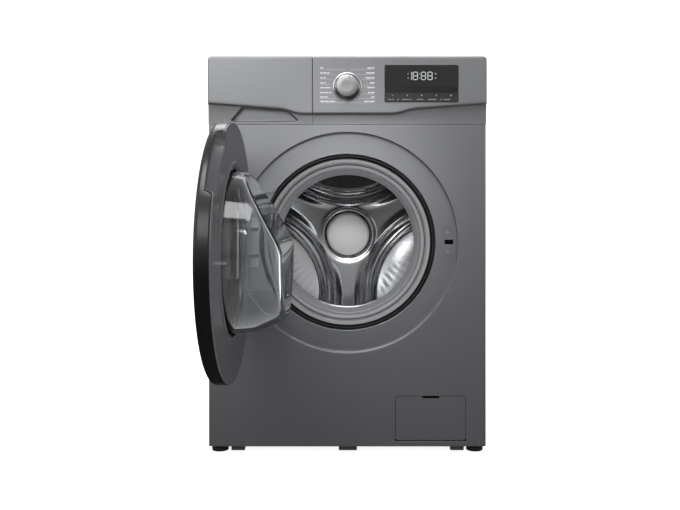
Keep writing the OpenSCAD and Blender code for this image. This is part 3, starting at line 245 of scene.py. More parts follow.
def perforated(name, colour, around=132, rows=24, hole=0.16, dimples=(33, 6)):
    # drum sheet: round holes in staggered rows over the piece's own UV, and shallow dimples between them
    finish = Finish(name, {"Metallic": 1.0})
    uv = finish.node("ShaderNodeUVMap")
    u, v, _ = finish.axes(uv)
    across, down = u * around, v * rows
    row = finish.maths("FLOOR", down)
    cellU = (across + (row % 2) * 0.5) % 1 - 0.5
    cellV = down % 1 - 0.5
    distance = finish.maths("SQRT", cellU * cellU + cellV * cellV)
    inside = distance < hole
    wave = [finish.maths("COSINE", at * (math.pi * 2 * count)) for at, count in zip((u, v), dimples)]
    swell = wave[0] * wave[1]
    cloud = finish.noise(20, 2)
    metal = finish.mix(cloud, shade(colour, 0.93), shade(colour, 1.05))
    finish.surface({
        "Base Color": finish.mix(inside, metal, tone(14)),
        "Metallic": 1 - inside,
        "Roughness": 0.17 + inside * 0.5 + cloud * 0.05,
    })
    finish.bump(swell * 0.5 - inside, 0.0006, 0.7)
    return finish


def boardGreen(name):
    # solder mask with straight copper runs under it
    finish = Finish(name, {"Coat Weight": 0.5})
    x, _, z = finish.axes()
    runs = ((x * 700 + finish.noise(30, 1) * 3) % 1 < 0.35) * (finish.noise(60, 0) > 0.5)
    finish.surface({
        "Base Color": finish.mix(runs, tone(16, 66, 38), tone(34, 98, 60)),
        "Roughness": 0.4 - runs * 0.1,
    })
    finish.bump(runs, 0.00003)
    return finish


def clearGlass(name):
    # moulded glass, a little smoked, with slow ripples
    finish = Finish(name, {"Transmission Weight": 1.0, "IOR": 1.45})
    ripple = finish.noise(22, 1)
    finish.surface({
        "Base Color": finish.mix(ripple, (0.86, 0.88, 0.89, 1), (0.94, 0.95, 0.96, 1)),
        "Roughness": ripple * 0.03,
    })
    finish.bump(ripple, 0.0006, 0.35)
    return finish


def gasketRubber(name):
    # grey rubber with painted shade: black from the gutter outwards, standing in for the deep shadow there
    # and for the black clamp ring, and a thin black line of painted shade along the groove
    finish = moulded(name, tone(118, 119, 121), 0.5, spread=0.06, grain=600)
    x, _, z = finish.axes(finish.mapped(shift=(0, 0, -axisZ * mm)))
    radius = finish.maths("SQRT", x * x + z * z)
    # painted shade and clamp colour: black beyond a radius of about 178 mm
    gutterClampAndShade = finish.node("ShaderNodeMapRange", None, {0: radius, 1: 0.1776, 2: 0.1786})
    # painted shade: a thin black line where the groove lies, at a radius of about 167 mm
    grooveShade = finish.maths("ABSOLUTE", radius - 0.1667)
    grooveShade = finish.node("ShaderNodeMapRange", None, {0: grooveShade, 1: 0.0004, 2: 0.0013, 3: 1, 4: 0})
    grey = finish.mix(finish.noise(7, 3), tone(104, 105, 107), tone(122, 123, 125))
    shadeAndClamp = finish.maths("MAXIMUM", gutterClampAndShade, grooveShade)
    finish.surface({"Base Color": finish.mix(shadeAndClamp, grey, tone(17, 17, 18))})
    return finish


def weave(name, colour, pitch):
    # ribbed belt rubber
    finish = moulded(name, colour, 0.62)
    _, y, _ = finish.axes()
    finish.bump(finish.maths("SINE", y * (math.pi * 2 / pitch)), 0.0004)
    return finish


graphiteSteel = flakePaint("graphiteSteel", tone(150, 151, 155), 0.33)
graphitePlastic = flakePaint("graphitePlastic", tone(148, 149, 151), 0.38, 0.88)
laminate = moulded("laminate", tone(118, 119, 122), 0.45, blotch=12, grain=420, grainDeep=0.00006)
galvanised = zincSheet("galvanised", tone(184, 187, 190))
basePlastic = moulded("basePlastic", tone(38, 38, 40), 0.55, grain=500, grainDeep=0.00006)
displayBlack = moulded("displayBlack", tone(24, 24, 26), 0.16, coat=0.5, spread=0.1, grainDeep=0.000003)
keyBlack = moulded("keyBlack", tone(18, 18, 19), 0.3, coat=0.1, grainDeep=0.000006)
# painted light: the lower band is a lighter grey than the window, standing in for light on a band tilted
# towards the lamps
bandGrey = moulded("bandGrey", tone(38, 38, 40), 0.34, coat=0.1, grainDeep=0.000006)
circuitBoard = boardGreen("circuitBoard")
whitePlastic = moulded("whitePlastic", tone(224, 224, 220), 0.45, spread=0.03)
greyRubber = moulded("greyRubber", tone(118, 119, 121), 0.55)
gasketGrey = gasketRubber("gasketGrey")
blackRubber = moulded("blackRubber", tone(22, 22, 23), 0.6, spread=0.15, grain=400, grainDeep=0.00008)
clampBlack = moulded("clampBlack", tone(9, 9, 9), 0.7, spread=0.1, grain=300)
beltRubber = weave("beltRubber", tone(26, 26, 27), 0.0028)
stainless = polishedSteel("stainless", tone(206, 207, 209))
drumSheet = perforated("drumSheet", tone(206, 207, 209))
brightSteel = brushed("brightSteel", tone(196, 197, 200), 0.26)
silverPlastic = spunMetal("silverPlastic", tone(170, 171, 172), (0, 784.5))
chromeSteel = polishedSteel("chromeSteel", tone(236, 236, 237), 0.24)
castAluminium = moulded("castAluminium", tone(168, 170, 172), 0.46, metallic=0.9, grain=300, grainDeep=0.0002)
ballastIron = moulded("ballastIron", tone(78, 78, 79), 0.7, spread=0.2, grain=160, grainDeep=0.0006)
motorSteel = brushed("motorSteel", tone(128, 129, 131), 0.36, along=(900, 900, 6))
bowlGlass = clearGlass("bowlGlass")
doorBlack = moulded("doorBlack", tone(13, 13, 14), 0.26, coat=0.1, grainDeep=0.000004)
doorGrey = moulded("doorGrey", tone(72, 72, 75), 0.34, coat=0.15, grain=700, grainDeep=0.00002)
lifterGrey = moulded("lifterGrey", tone(188, 188, 190), 0.34, spread=0.04)
hubGrey = moulded("hubGrey", tone(226, 226, 226), 0.42, metallic=0.3, spread=0.03, grainDeep=0.00001)
printGrey = moulded("printGrey", tone(206, 207, 209), 0.5, grainDeep=0.000002)
litSegment = moulded("litSegment", tone(176, 178, 180), 0.4, grainDeep=0.000002)
litSegment.surface({"Emission Color": tone(176, 178, 180), "Emission Strength": 0.35})
print("materials made")

def sheet(points, closeRows=False, closeColumns=False):
    # a grid of points, rows by columns, joined into four-sided faces
    rows, columns = points.shape[:2]
    index = np.arange(rows * columns).reshape(rows, columns)
    if closeRows:
        index = np.vstack([index, index[:1]])
    if closeColumns:
        index = np.hstack([index, index[:, :1]])
    corners = [index[:-1, :-1], index[1:, :-1], index[1:, 1:], index[:-1, 1:]]
    return points.reshape(-1, 3), np.stack(corners, -1).reshape(-1, 4)


def capped(loop):
    # a closed loop filled from its middle
    return sheet(np.stack([loop, np.repeat(loop.mean(0)[None], len(loop), 0)]), closeColumns=True)


def softened(points, radius, steps=4, closed=False):
    # each corner becomes a parabola between the two points that lie one radius before and after it
    p = np.array(points, float)
    before, after = np.roll(p, 1, 0) - p, np.roll(p, -1, 0) - p

    def reach(leg):
        return leg * np.minimum(radius / np.linalg.norm(leg, axis=1).clip(1e-9), 0.45)[:, None]

    start, end = p + reach(before), p + reach(after)
    t = np.linspace(0, 1, steps)[None, :, None]
    curve = (1 - t) ** 2 * start[:, None] + 2 * t * (1 - t) * p[:, None] + t * t * end[:, None]
    if closed:
        return curve.reshape(-1, p.shape[1])
    return np.vstack([p[:1], curve[1:-1].reshape(-1, p.shape[1]), p[-1:]])


def resampled(points, count):
    # the same polyline with points at even steps along its length
    along = np.concatenate([[0], np.cumsum(np.linalg.norm(np.diff(points, axis=0), axis=1))])
    at = np.linspace(0, along[-1], count)
    return np.stack([np.interp(at, along, points[:, k]) for k in range(points.shape[1])], -1)


def smoothStep(x):
    t = np.clip(x, 0, 1)
    return t * t * (3 - 2 * t)


def smoothLow(a, b, width):
    # the lower of two numbers, with the corner between them rounded over width
    h = np.clip(0.5 + 0.5 * (b - a) / width, 0, 1)
    return b * (1 - h) + a * h - width * h * (1 - h)


def turned(profile, columns=180, centre=(0, axisZ), y0=frontY):
    # radius and depth of a profile, carried round an axis along Y: x = r cos a, z = r sin a
    a = np.linspace(0, 2 * math.pi, columns, endpoint=False)[None]
    r, depth = profile[:, :1], profile[:, 1:2]
    shape = np.broadcast_shapes(r.shape, a.shape)
    places = [centre[0] + r * np.cos(a), np.broadcast_to(y0 + depth, shape), centre[1] + r * np.sin(a)]
    return np.stack([np.broadcast_to(p, shape) for p in places], -1)


def roundedLoop(x0, z0, x1, z1, radius, steps=8):
    # outline of a rectangle with round corners: a quarter circle about each corner's centre
    a = np.linspace(0, math.pi / 2, steps)
    turns = a[None] + np.arange(4)[:, None] * math.pi / 2
    centreX = np.array([x1 - radius, x0 + radius, x0 + radius, x1 - radius])[:, None]
    centreZ = np.array([z1 - radius, z1 - radius, z0 + radius, z0 + radius])[:, None]
    return np.stack([centreX + radius * np.cos(turns), centreZ + radius * np.sin(turns)], -1).reshape(-1, 2)


def plate(outline, yFront, yBack, edge=0.3):
    # an outline pushed back from yFront to yBack, its front edge rounded by shrinking towards the middle
    middle = outline.mean(0)
    reach = np.linalg.norm(outline - middle, axis=1).max()
    a = np.linspace(0, math.pi / 2, 4)
    inset, y = edge * (1 - np.cos(a)), yFront + edge * (1 - np.sin(a))
    scale = np.concatenate([[1], 1 - inset / reach, [1 - (edge + 0.5) / reach, 0]])
    depth = np.concatenate([[yBack], y, [yFront, yFront]])
    flat = middle + (outline - middle)[None] * scale[:, None, None]
    front = np.stack([flat[..., 0], np.broadcast_to(depth[:, None], flat.shape[:2]), flat[..., 1]], -1)
    back = np.stack([outline[:, 0], np.full(len(outline), yBack), outline[:, 1]], -1)
    return [sheet(front, closeColumns=True), capped(back)]


def bars(boxes, yFront, yBack, radius=0.25):
    # flat marks from a list of x0, z0, x1, z1
    made = []
    for x0, z0, x1, z1 in boxes:
        r = min(radius, (x1 - x0) / 2.1, (z1 - z0) / 2.1)
        made += plate(roundedLoop(x0, z0, x1, z1, r, 3), yFront, yBack, 0.02)
    return made


def tubeAlong(path, radius, side, sides=12):
    # circles of the given radius about each point of a path; side is square to the path everywhere
    ahead = np.gradient(path, axis=0)
    ahead /= np.linalg.norm(ahead, axis=1)[:, None]
    side = np.broadcast_to(side, path.shape)
    other = np.cross(ahead, side)
    a = np.linspace(0, 2 * math.pi, sides, endpoint=False)[None, :, None]
    r = np.broadcast_to(radius, len(path))[:, None, None]
    ring = path[:, None] + r * (np.cos(a) * side[:, None] + np.sin(a) * other[:, None])
    return [sheet(ring, closeColumns=True), capped(ring[0]), capped(ring[-1])]


def makePiece(name, sheets, finish, body, replaces=(), uvs=None, sharp=38, wall=0.0, merge=0.002):
    # joins the sheets into one mesh, merges their seams and turns the faces outwards
    starts = np.cumsum([0] + [len(v) for v, _ in sheets[:-1]])
    vertices = np.vstack([v for v, _ in sheets]) * mm
    faces = np.vstack([f + s for (_, f), s in zip(sheets, starts)])
    mesh = bpy.data.meshes.new(name)
    mesh.from_pydata(vertices.tolist(), [], faces.tolist())
    if uvs is not None:
        corner = np.empty(len(mesh.loops), np.int64)
        mesh.loops.foreach_get("vertex_index", corner)
        mesh.uv_layers.new(name="surface").data.foreach_set("uv", uvs[corner].ravel())
    work = bmesh.new()
    work.from_mesh(mesh)
    bmesh.ops.remove_doubles(work, verts=work.verts, dist=merge * mm)
    bmesh.ops.dissolve_degenerate(work, dist=merge * mm, edges=work.edges)
    bmesh.ops.recalc_face_normals(work, faces=work.faces)
    work.to_mesh(mesh)
    work.free()
    mesh.polygons.foreach_set("use_smooth", np.ones(len(mesh.polygons), bool))
    mesh.set_sharp_from_angle(angle=math.radians(sharp))
    piece = bpy.data.objects.new(name, mesh)
    bpy.context.scene.collection.objects.link(piece)
    mesh.materials.append(finish.material)
    if wall:
        shell = piece.modifiers.new("wall", "SOLIDIFY")
        shell.thickness, shell.offset = wall * mm, 0
    if body:
        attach(piece, body)
    if replaces:
        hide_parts(*replaces)
    return piece


panel = {
    "half": 297.5, "seam": 705.5, "top": 850, "face": -252, "back": -202, "coveTop": 751.5, "coveBack": -243,
    "low": 727, "middle": 738, "end": 748.5, "bendFrom": 94, "bendTo": 151, "edge": 3.4, "corner": 8,
    "joint": -74, "gap": 0.5, "jointEdge": 0.7,
}


def waveHeight(x):
    # lower edge of the raised face: level in the middle, a smooth rise, then a straight slope to the side
    far = np.abs(x)
    rise = smoothStep((far - panel["bendFrom"]) / (panel["bendTo"] - panel["bendFrom"]))
    slope = (far - panel["bendTo"]) / (panel["half"] - panel["bendTo"])
    bent = panel["low"] + (panel["middle"] - panel["low"]) * rise
    straight = panel["middle"] + (panel["end"] - panel["middle"]) * slope
    return np.where(far <= panel["bendTo"], bent, straight)


def edgeDrop(distance, radius):
    # how far a rounded edge falls back at a distance from the border: a quarter circle
    near = radius - np.minimum(distance, radius)
    return radius - np.sqrt(np.maximum(radius**2 - near**2, 0))


def clustered(start, end, fine, step):
    # positions that lie close together near both ends
    ends = fine * (1 - np.cos(np.linspace(0, math.pi / 2, 9)))
    middle = np.linspace(start + fine, end - fine, int((end - start) / step))
    return np.concatenate([start + ends[:-1], middle, end - ends[-2::-1]])


def raisedFace(x0, x1, outer):
    # face with a wavy lower edge; each column of points runs from that edge to the top
    half, corner, edge = panel["half"], panel["corner"], panel["edge"]
    x = clustered(x0, x1, corner, 5)
    v = clustered(0, 1, 0.03, 0.045)
    fromSide = np.maximum(half - np.abs(x), 0)
    inCorner = np.maximum(corner - fromSide, 0)
    top = panel["top"] - (corner - np.sqrt(np.maximum(corner**2 - inCorner**2, 0)))
    low = waveHeight(x)
    z = low[None] + (top - low)[None] * v[:, None]
    wide = np.broadcast_to(x[None], z.shape)
    inner = np.abs(wide - (x0 if outer > 0 else x1))
    drop = np.maximum.reduce([
        edgeDrop(z - low[None], edge), edgeDrop(top[None] - z, edge),
        edgeDrop(np.broadcast_to(fromSide[None], z.shape), edge), edgeDrop(inner, panel["jointEdge"]),
    ])
    front = np.stack([wide, panel["face"] + drop, z], -1)
    loop = np.vstack([front[0], front[1:, -1], front[-1, -2::-1], front[-2:0:-1, 0]])
    rear = loop.copy()
    rear[:, 1] = panel["back"]
    back = front.copy()
    back[..., 1] = panel["back"]
    return [sheet(front), sheet(np.stack([loop, rear]), closeColumns=True), sheet(back)]


def cove(x0, x1, pocket=None):
    # hollow strip under the wavy edge: upright at the seam, and leaning forward more and more above it
    x = np.linspace(x0, x1, int((x1 - x0) / 1.5))
    t = np.concatenate([[0, 0.012], np.linspace(0.03, 1, 44)])
    z = panel["seam"] + t * (panel["coveTop"] - panel["seam"])
    y = frontY + (panel["coveBack"] - frontY) * t**1.6
    wideX, wideZ = np.meshgrid(x, z)
    deep = np.broadcast_to(y[:, None], wideX.shape).copy()
    if pocket is not None:
        within = smoothStep(0.5 - insidePocket(wideX, wideZ, pocket) / 1.6)
        deep += np.maximum(pocket["back"] - deep, 0) * within
    front = np.stack([wideX, deep, wideZ], -1)
    upper, lower = front[-1:].copy(), front[:1].copy()
    upper[..., 1], lower[..., 1] = panel["back"], panel["back"]
    body = np.vstack([front, upper, lower])
    return [sheet(body, closeRows=True), capped(body[:, 0]), capped(body[:, -1])]


pull = {"corners": [(-250.5, 712.5), (-104.5, 712.5), (-138, 744), (-219, 748)], "back": -225.5,
        "round": 0.55}


def insidePocket(x, z, pocket):
    # signed distance to a polygon: a soft maximum of the distances to its sides, so its corners are round
    a = np.array(pocket["corners"], float)
    along = np.roll(a, -1, 0) - a
    along /= np.linalg.norm(along, axis=1)[:, None]
    outward = np.stack([along[:, 1], -along[:, 0]], -1)
    d = (x[..., None] - a[:, 0]) * outward[:, 0] + (z[..., None] - a[:, 1]) * outward[:, 1]
    k = pocket["round"]
    return np.log(np.exp(np.clip(d * k, -60, 60)).sum(-1)) / k


def blockSheet(low, high):
    # a block from two corners, as a loop of four points carried from one end to the other
    (x0, y0, z0), (x1, y1, z1) = low, high
    loop = np.array([[x0, y0, z0], [x1, y0, z0], [x1, y0, z1], [x0, y0, z1]], float)
    far = loop + np.array([0, y1 - y0, 0])
    return [sheet(np.stack([loop, far]), closeColumns=True), capped(loop), capped(far)]


drawerHole = {"outer": (-297.5, 705.5, -73, 850), "hole": (-273.5, 737, -92, 811), "front": -223,
              "back": -220, "clear": 0.3}


def framePlate():
    # plate behind the drawer's face: an outer and an inner rectangle, joined front and back
    spec = drawerHole
    loops = [roundedLoop(*spec["outer"], 1, 3), roundedLoop(*spec["hole"], 3, 3)]
    order = [(0, "front"), (1, "front"), (1, "back"), (0, "back")]
    rows = [np.insert(loops[k], 1, spec[side], axis=1) for k, side in order]
    return [sheet(np.stack(rows), closeRows=True, closeColumns=True)]


edgeX = panel["joint"] + panel["gap"]
fasciaSheets = raisedFace(edgeX, panel["half"], 1) + cove(edgeX, panel["half"]) + framePlate()
fasciaSheets += blockSheet((-297.5, -223, 705.5), (-295.5, -202, 842))
fasciaSheets += blockSheet((-292, -223, 847), (-73, -202, 850))
makePiece("controlPanel", fasciaSheets, graphitePlastic, "cabinet", ["fascia"])
edgeX = panel["joint"] - panel["gap"]
drawerSheets = raisedFace(-panel["half"], edgeX, -1) + cove(-panel["half"], edgeX, pull)
for points, _ in drawerSheets:
    # the drawer's face stops just in front of the plate
    points[:, 1] = np.minimum(points[:, 1], drawerHole["front"] - drawerHole["clear"])
makePiece("drawerFace", drawerSheets, graphitePlastic, "drawer", ["drawer_front"])
print("control panel made")

knob = {"centre": (0, 784.5), "radius": 24.3, "skirt": 26.9, "proud": 18.5}
knobProfile = softened([
    (0, -knob["proud"]), (12, -knob["proud"] - 0.25), (22.2, -knob["proud"]), (23.4, -17.2),
    (knob["radius"], -3.6), (knob["skirt"], -2.2), (knob["skirt"], -0.3), (0, -0.3),
], 0.8)
makePiece("knobCap", [sheet(turned(knobProfile, 128, knob["centre"], panel["face"]), closeColumns=True)],
          silverPlastic, "knob", ["selector_knob"])
ringProfile = softened([(28.1, 0.1), (28.1, -2), (29, -2.3), (30.6, -1.3), (31, 0.1)], 0.5, closed=True)
makePiece("knobRing", [sheet(turned(ringProfile, 128, knob["centre"], panel["face"]), True, True)],
          chromeSteel, "cabinet")
# a flat black ring laid on the fascia round the knob's foot: painted shadow, standing in for the shade
# between knob and chrome ring
paintedShadowProfile = np.array([(25.2, 0.05), (25.2, -0.5), (28.3, -0.5), (28.3, 0.05)])
makePiece("knobPaintedShadow", [sheet(turned(paintedShadowProfile, 96, knob["centre"], panel["face"]), True, True)],
          keyBlack, "cabinet")
pointerAngle = math.radians(75)
across = np.array([-math.sin(pointerAngle), math.cos(pointerAngle)])
outward = np.array([math.cos(pointerAngle), math.sin(pointerAngle)])
notch = roundedLoop(-0.8, 18, 0.8, 22.6, 0.7, 5)
notch = np.array(knob["centre"]) + notch[:, :1] * across * -1 + notch[:, 1:] * outward
makePiece("knobPointer", plate(notch, -270.72, -270.0, 0.1), keyBlack, "knob")

display = {"x": (79, 237), "z": (751, 831), "round": 4, "face": -252.6, "keyLow": 773.2, "keyHigh": 783.8}
(left, right), (bottom, top), corner = display["x"], display["z"], display["round"]
upper = roundedLoop(left, display["keyHigh"], right, top, corner)
lower = roundedLoop(left, bottom, right, display["keyLow"], corner)
tray = roundedLoop(left + 0.2, bottom + 0.2, right - 0.2, top - 0.2, corner)
for half, inner in ((upper, upper[:, 1] < 790), (lower, lower[:, 1] > 767)):
    # the middle edges of both halves run straight to the sides
    half[inner, 0] = np.where(half[inner, 0] < (left + right) / 2, left, right)
makePiece("displayWindow", plate(upper, display["face"], -251.6, 0.5) + plate(tray, -252.1, -251, 0.3),
          displayBlack, "cabinet", ["display_window"])
# the band is flat; its lighter grey is painted light for a tilt towards the lamps
makePiece("displayBand", plate(lower, display["face"], -251.6, 0.5), bandGrey, "cabinet")

digit = {"height": 17.5, "width": 10.6, "stroke": 1.5, "gap": 0.45, "places": (144.9, 162, 176),
         "middle": 807.5}


def segments(cx, cz):
    # seven bars of a digit: three level ones and two pairs of upright ones
    w, h, t, g = digit["width"] / 2, digit["height"] / 2, digit["stroke"], digit["gap"]
    level = [(cx - w + t + g, z - t / 2, cx + w - t - g, z + t / 2)
             for z in (cz - h + t / 2, cz, cz + h - t / 2)]
    upright = [(x, z + g, x + t, z + h - t / 2 - g) for x in (cx - w, cx + w - t)
               for z in (cz - h + t / 2, cz)]
    return level + upright


marks = sum((segments(x, digit["middle"]) for x in digit["places"]), [])
marks += [(136.2, 799.4, 137.7, 806.9), (136.2, 808.1, 137.7, 815.6)]
marks += [(152.8, 802.5, 154.3, 804), (152.8, 811, 154.3, 812.5)]
makePiece("displayDigits", bars(marks, -252.72, -252.5), litSegment, "cabinet")


def polygonLoop(cx, cz, radius, sides, turn=0.0):
    a = np.linspace(0, 2 * math.pi, sides, endpoint=False) + turn
    return np.stack([cx + radius * np.cos(a), cz + radius * np.sin(a)], -1)


icons = []
for cx, sides in ((129.4, 3), (188, 6)):
    icons += plate(polygonLoop(cx, 812, 2.1, sides, math.pi / 2), -252.7, -252.5, 0.05)
    icons += plate(polygonLoop(cx, 803, 1.9, sides + 1, math.pi / 4), -252.7, -252.5, 0.05)
for k, (sides, turn) in enumerate(((3, math.pi / 2), (4, 0.0), (5, 0.3), (4, math.pi / 4), (6, 0.0))):
    icons += plate(polygonLoop(96.4 + 31 * k, 766, 2.0, sides, turn), -252.7, -252.5, 0.05)
dashRow = [(87, 93.5), (94.5, 99), (106, 110), (116, 131), (133, 137), (148, 162), (172, 190), (198, 202),
           (206, 219)]
icons += bars([(a, 756.4, b, 758.2) for a, b in dashRow], -252.7, -252.5)
makePiece("displayIcons", icons, moulded("iconGrey", tone(128, 129, 131), 0.5), "cabinet")

printing = {
    "rows": (824.5, 814, 803.4, 792.8, 782.4, 772, 762.6, 753.4), "tall": 2.3, "line": 0.45,
    "y": (-252.06, -251.9),
    "left": ((7,), (6, 7, 5), (6, 5), (7, 4), (9, 12), (8, 9, 5), (7, 8), (10, 8, 12)),
    "right": ((5, 9), (9, 8), (6, 12), (10,), (5, 9), (8, 5), (7,), (11, 10)),
}


def wordBars(x, z, lengths, towards):
    # plain bars that stand for words, one after another
    starts = x + towards * (np.cumsum((0,) + lengths[:-1]) + np.arange(len(lengths)) * 1.1)
    ends = starts + towards * np.array(lengths)
    low, high = z - printing["tall"] / 2, z + printing["tall"] / 2
    return [(min(a, b), low, max(a, b), high) for a, b in zip(starts, ends)]


labelBars = []
for row, z in enumerate(printing["rows"]):
    for side, words in ((-1, printing["left"][row]), (1, printing["right"][row])):
        labelBars += wordBars(side * 58, z, words, -side)
        reach = 58 - sum(words) - 1.1 * (len(words) - 1) - 1.5
        level = z - 3.1 if row < 4 else z + 2.6 if row == 4 else z - 3.1
        offset = abs(level - knob["centre"][1])
        stop = math.sqrt(max(35**2 - offset**2, 7**2))
        if row in (0, 7):
            stop = 7
            up = 1 if row == 0 else -1
            post = sorted((level, level - up * 4.6))
            labelBars.append((side * 7 - 0.25, post[0], side * 7 + 0.25, post[1]))
        if reach > stop + 1 or row in (0, 7):
            ends = sorted((side * 56, side * stop))
            labelBars.append((ends[0], level - printing["line"] / 2, ends[1], level + printing["line"] / 2))
makePiece("programmeMarks", bars(labelBars, *printing["y"], radius=0.5), printGrey, "cabinet")
print("display and printing made")

door = {"hinge": (-223, -261), "open": 91, "inner": -241.6, "scoop": (28, 65), "scoopDeep": 16,
        "lip": 3.2, "notch": (169.2, 190.8), "notchDeep": 27}


def fromDoor(x, y, s):
    # places on the shut door, s in front of its inner face, swung open about the hinge
    angle = -math.radians(door["open"])
    px, py = x - door["hinge"][0], door["inner"] - s - door["hinge"][1]
    px, py, y = np.broadcast_arrays(px, py, y)
    return np.stack([
        px * math.cos(angle) - py * math.sin(angle) + door["hinge"][0],
        px * math.sin(angle) + py * math.cos(angle) + door["hinge"][1],
        y + axisZ,
    ], -1)


doorAngles = np.linspace(0, 2 * math.pi, 360, endpoint=False)[None]


def between(angle, low, high, soft):
    # 1 inside a span of angles, in degrees, with soft ends
    degrees = np.degrees(angle) % 360
    return smoothStep((degrees - low) / soft + 0.5) * smoothStep((high - degrees) / soft + 0.5)


def doorTurned(profile, change=None):
    # a profile carried round the door; change moves radius and height with the angle
    r, s = profile[:, :1] + 0 * doorAngles, profile[:, 1:2] + 0 * doorAngles
    if change:
        r, s = change(r, s)
    return fromDoor(r * np.cos(doorAngles), r * np.sin(doorAngles), s)


def rimChange(r, s):
    # the rim is lower at the finger scoop and over the hinge
    scoop = door["lip"] + (door["scoopDeep"] - door["lip"]) * between(doorAngles, *door["scoop"], 1.0)
    hinge = door["notchDeep"] * between(doorAngles, *door["notch"], 0.8)
    return r, np.maximum(s, np.maximum(scoop, hinge))


def frameChange(r, s):
    # the frame is pressed in at the finger scoop, and cut back to the hinge's notch
    pressed = smoothStep((r - 208) / 22) * door["scoopDeep"] * between(doorAngles, 29, 64.5, 2.4)
    # the notch's straight side lies at a fixed distance left of the middle
    limit = np.where(np.abs(np.sin(doorAngles)) * r < 44, 201 / np.abs(np.cos(doorAngles)).clip(0.1), 999)
    left = np.cos(doorAngles) < 0
    return np.where(left, np.minimum(r, limit), r), s + pressed * (s < 4)


rimProfile = softened([
    (236, 3.2), (239, 3.2), (240, 4.4), (240, 22), (238.4, 27), (233, 30), (210, 30), (210, 28), (205, 28),
    (205, 26), (236, 26),
], [0.3, 0.6, 0.9, 3, 3, 3, 0.8, 0.3, 0.3, 0.3, 0.3], 5, True)
makePiece("doorRim", [sheet(doorTurned(rimProfile, rimChange), True, True)], doorBlack, "door",
          ["door_outer_ring"])
crown = np.linspace(209.8, 0, 22)
coverProfile = np.vstack([
    np.stack([crown, 30 + 5 * (1 - (crown / 209.8) ** 2)], -1),
    np.stack([crown[::-1], 28 + 4 * (1 - (crown[::-1] / 209.8) ** 2)], -1),
])
makePiece("doorCover", [sheet(doorTurned(coverProfile), True, True)], doorBlack, "door",
          ["door_cover"])
frameProfile = softened([
    (155, 3), (155, 0), (157.5, -0.2), (159, -2.4), (165, -2.4), (167.5, 0)]
    + [(r, 0) for r in range(172, 207, 5)] + [(r, 0) for r in range(208, 238, 2)]
    + [(238.8, 0.2), (238.8, 3), (234.3, 3), (234.3, 25.8), (231.5, 25.8), (231.5, 3), (226, 3), (218, 3),
       (210, 3), (190, 3), (166.4, 3), (166.4, 14), (163.4, 14), (163.4, 3)], 0.7, 3, True)
makePiece("doorFrame", [sheet(doorTurned(frameProfile, frameChange), True, True)], doorGrey, "door",
          ["door_inner_frame"])

bowl = {"slopeFrom": (150, 22), "slopeTo": (13, 100), "wall": 5, "soft": 7}


def bowlChange(inset):
    # depth is held in front of a slanting plane, which makes the bowl's flat sloping top
    (y0, d0), (y1, d1) = bowl["slopeFrom"], bowl["slopeTo"]

    def change(r, s):
        limit = d0 + (y0 - r * np.sin(doorAngles)) * (d1 - d0) / (y0 - y1) - inset * 1.15
        deep = np.where(-s > 4, smoothLow(-s, limit, bowl["soft"]), -s)
        return r, -deep

    return change


outerBowl = resampled(softened([(151, -4), (150, 0), (144.6, 47.6), (127.5, 87), (124, 96), (117, 100),
                                (0, 100)], [1, 2, 8, 5, 4, 5, 1], 6), 110)
innerBowl = resampled(softened([(145, -8), (145, 0), (139.6, 46), (122.4, 85), (119, 92), (113, 95), (0, 95)],
                               [1, 2, 8, 5, 4, 4, 1], 6), 110)
flange = softened([(145, -8), (161.5, -8), (161.5, -4), (151, -4)], 1.0, 4)
bowlSheets = [
    sheet(doorTurned(outerBowl * (1, -1), bowlChange(0)), closeColumns=True),
    sheet(doorTurned(innerBowl * (1, -1), bowlChange(bowl["wall"])), closeColumns=True),
    sheet(doorTurned(flange * (1, -1)), closeColumns=True),
]
makePiece("doorBowl", bowlSheets, bowlGlass, "door", ["door_glass"], sharp=60, merge=0.01)
print("door made")

gasketProfile = softened([
    (189, 21.8), (189, 18.5), (181.5, 18.5), (180.5, 13.5), (178, 12), (172, 12), (170, 14), (168.6, 18.5),
    (166.6, 18.5), (165.3, 15.6), (162, 16), (159, 17), (156.5, 22), (155.5, 27), (153.5, 27.5), (151, 33),
    (146.6, 41.5), (145, 46), (146, 49.5), (150, 52.5), (170.2, 52.5), (170.2, 67.5), (173.4, 67.5),
    (173.4, 49.5),
    (156, 49.5), (150, 44.5), (154.5, 34), (158.5, 30), (160, 24), (162, 20.5), (166, 21), (169, 22),
    (172.5, 21), (173.5, 15.5), (177, 15.5), (177.5, 21.8),
], 1.5, 5, True)
gasket = makePiece("doorGasket", [sheet(turned(gasketProfile, 240), True, True)], gasketGrey, None,
                   ["door_gasket"], sharp=60)
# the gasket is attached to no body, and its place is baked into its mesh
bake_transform(gasket)
print("gasket made")

drum = {
    "back": 315, "plateau": 303, "starReach": 299, "starRadius": 224,
    "bandWidth": 32, "bandDeep": 9, "ridge": 3.0, "ripples": 20, "rippleTall": 0.08, "armTilt": 0.075,
    "fieldDish": 15,
}


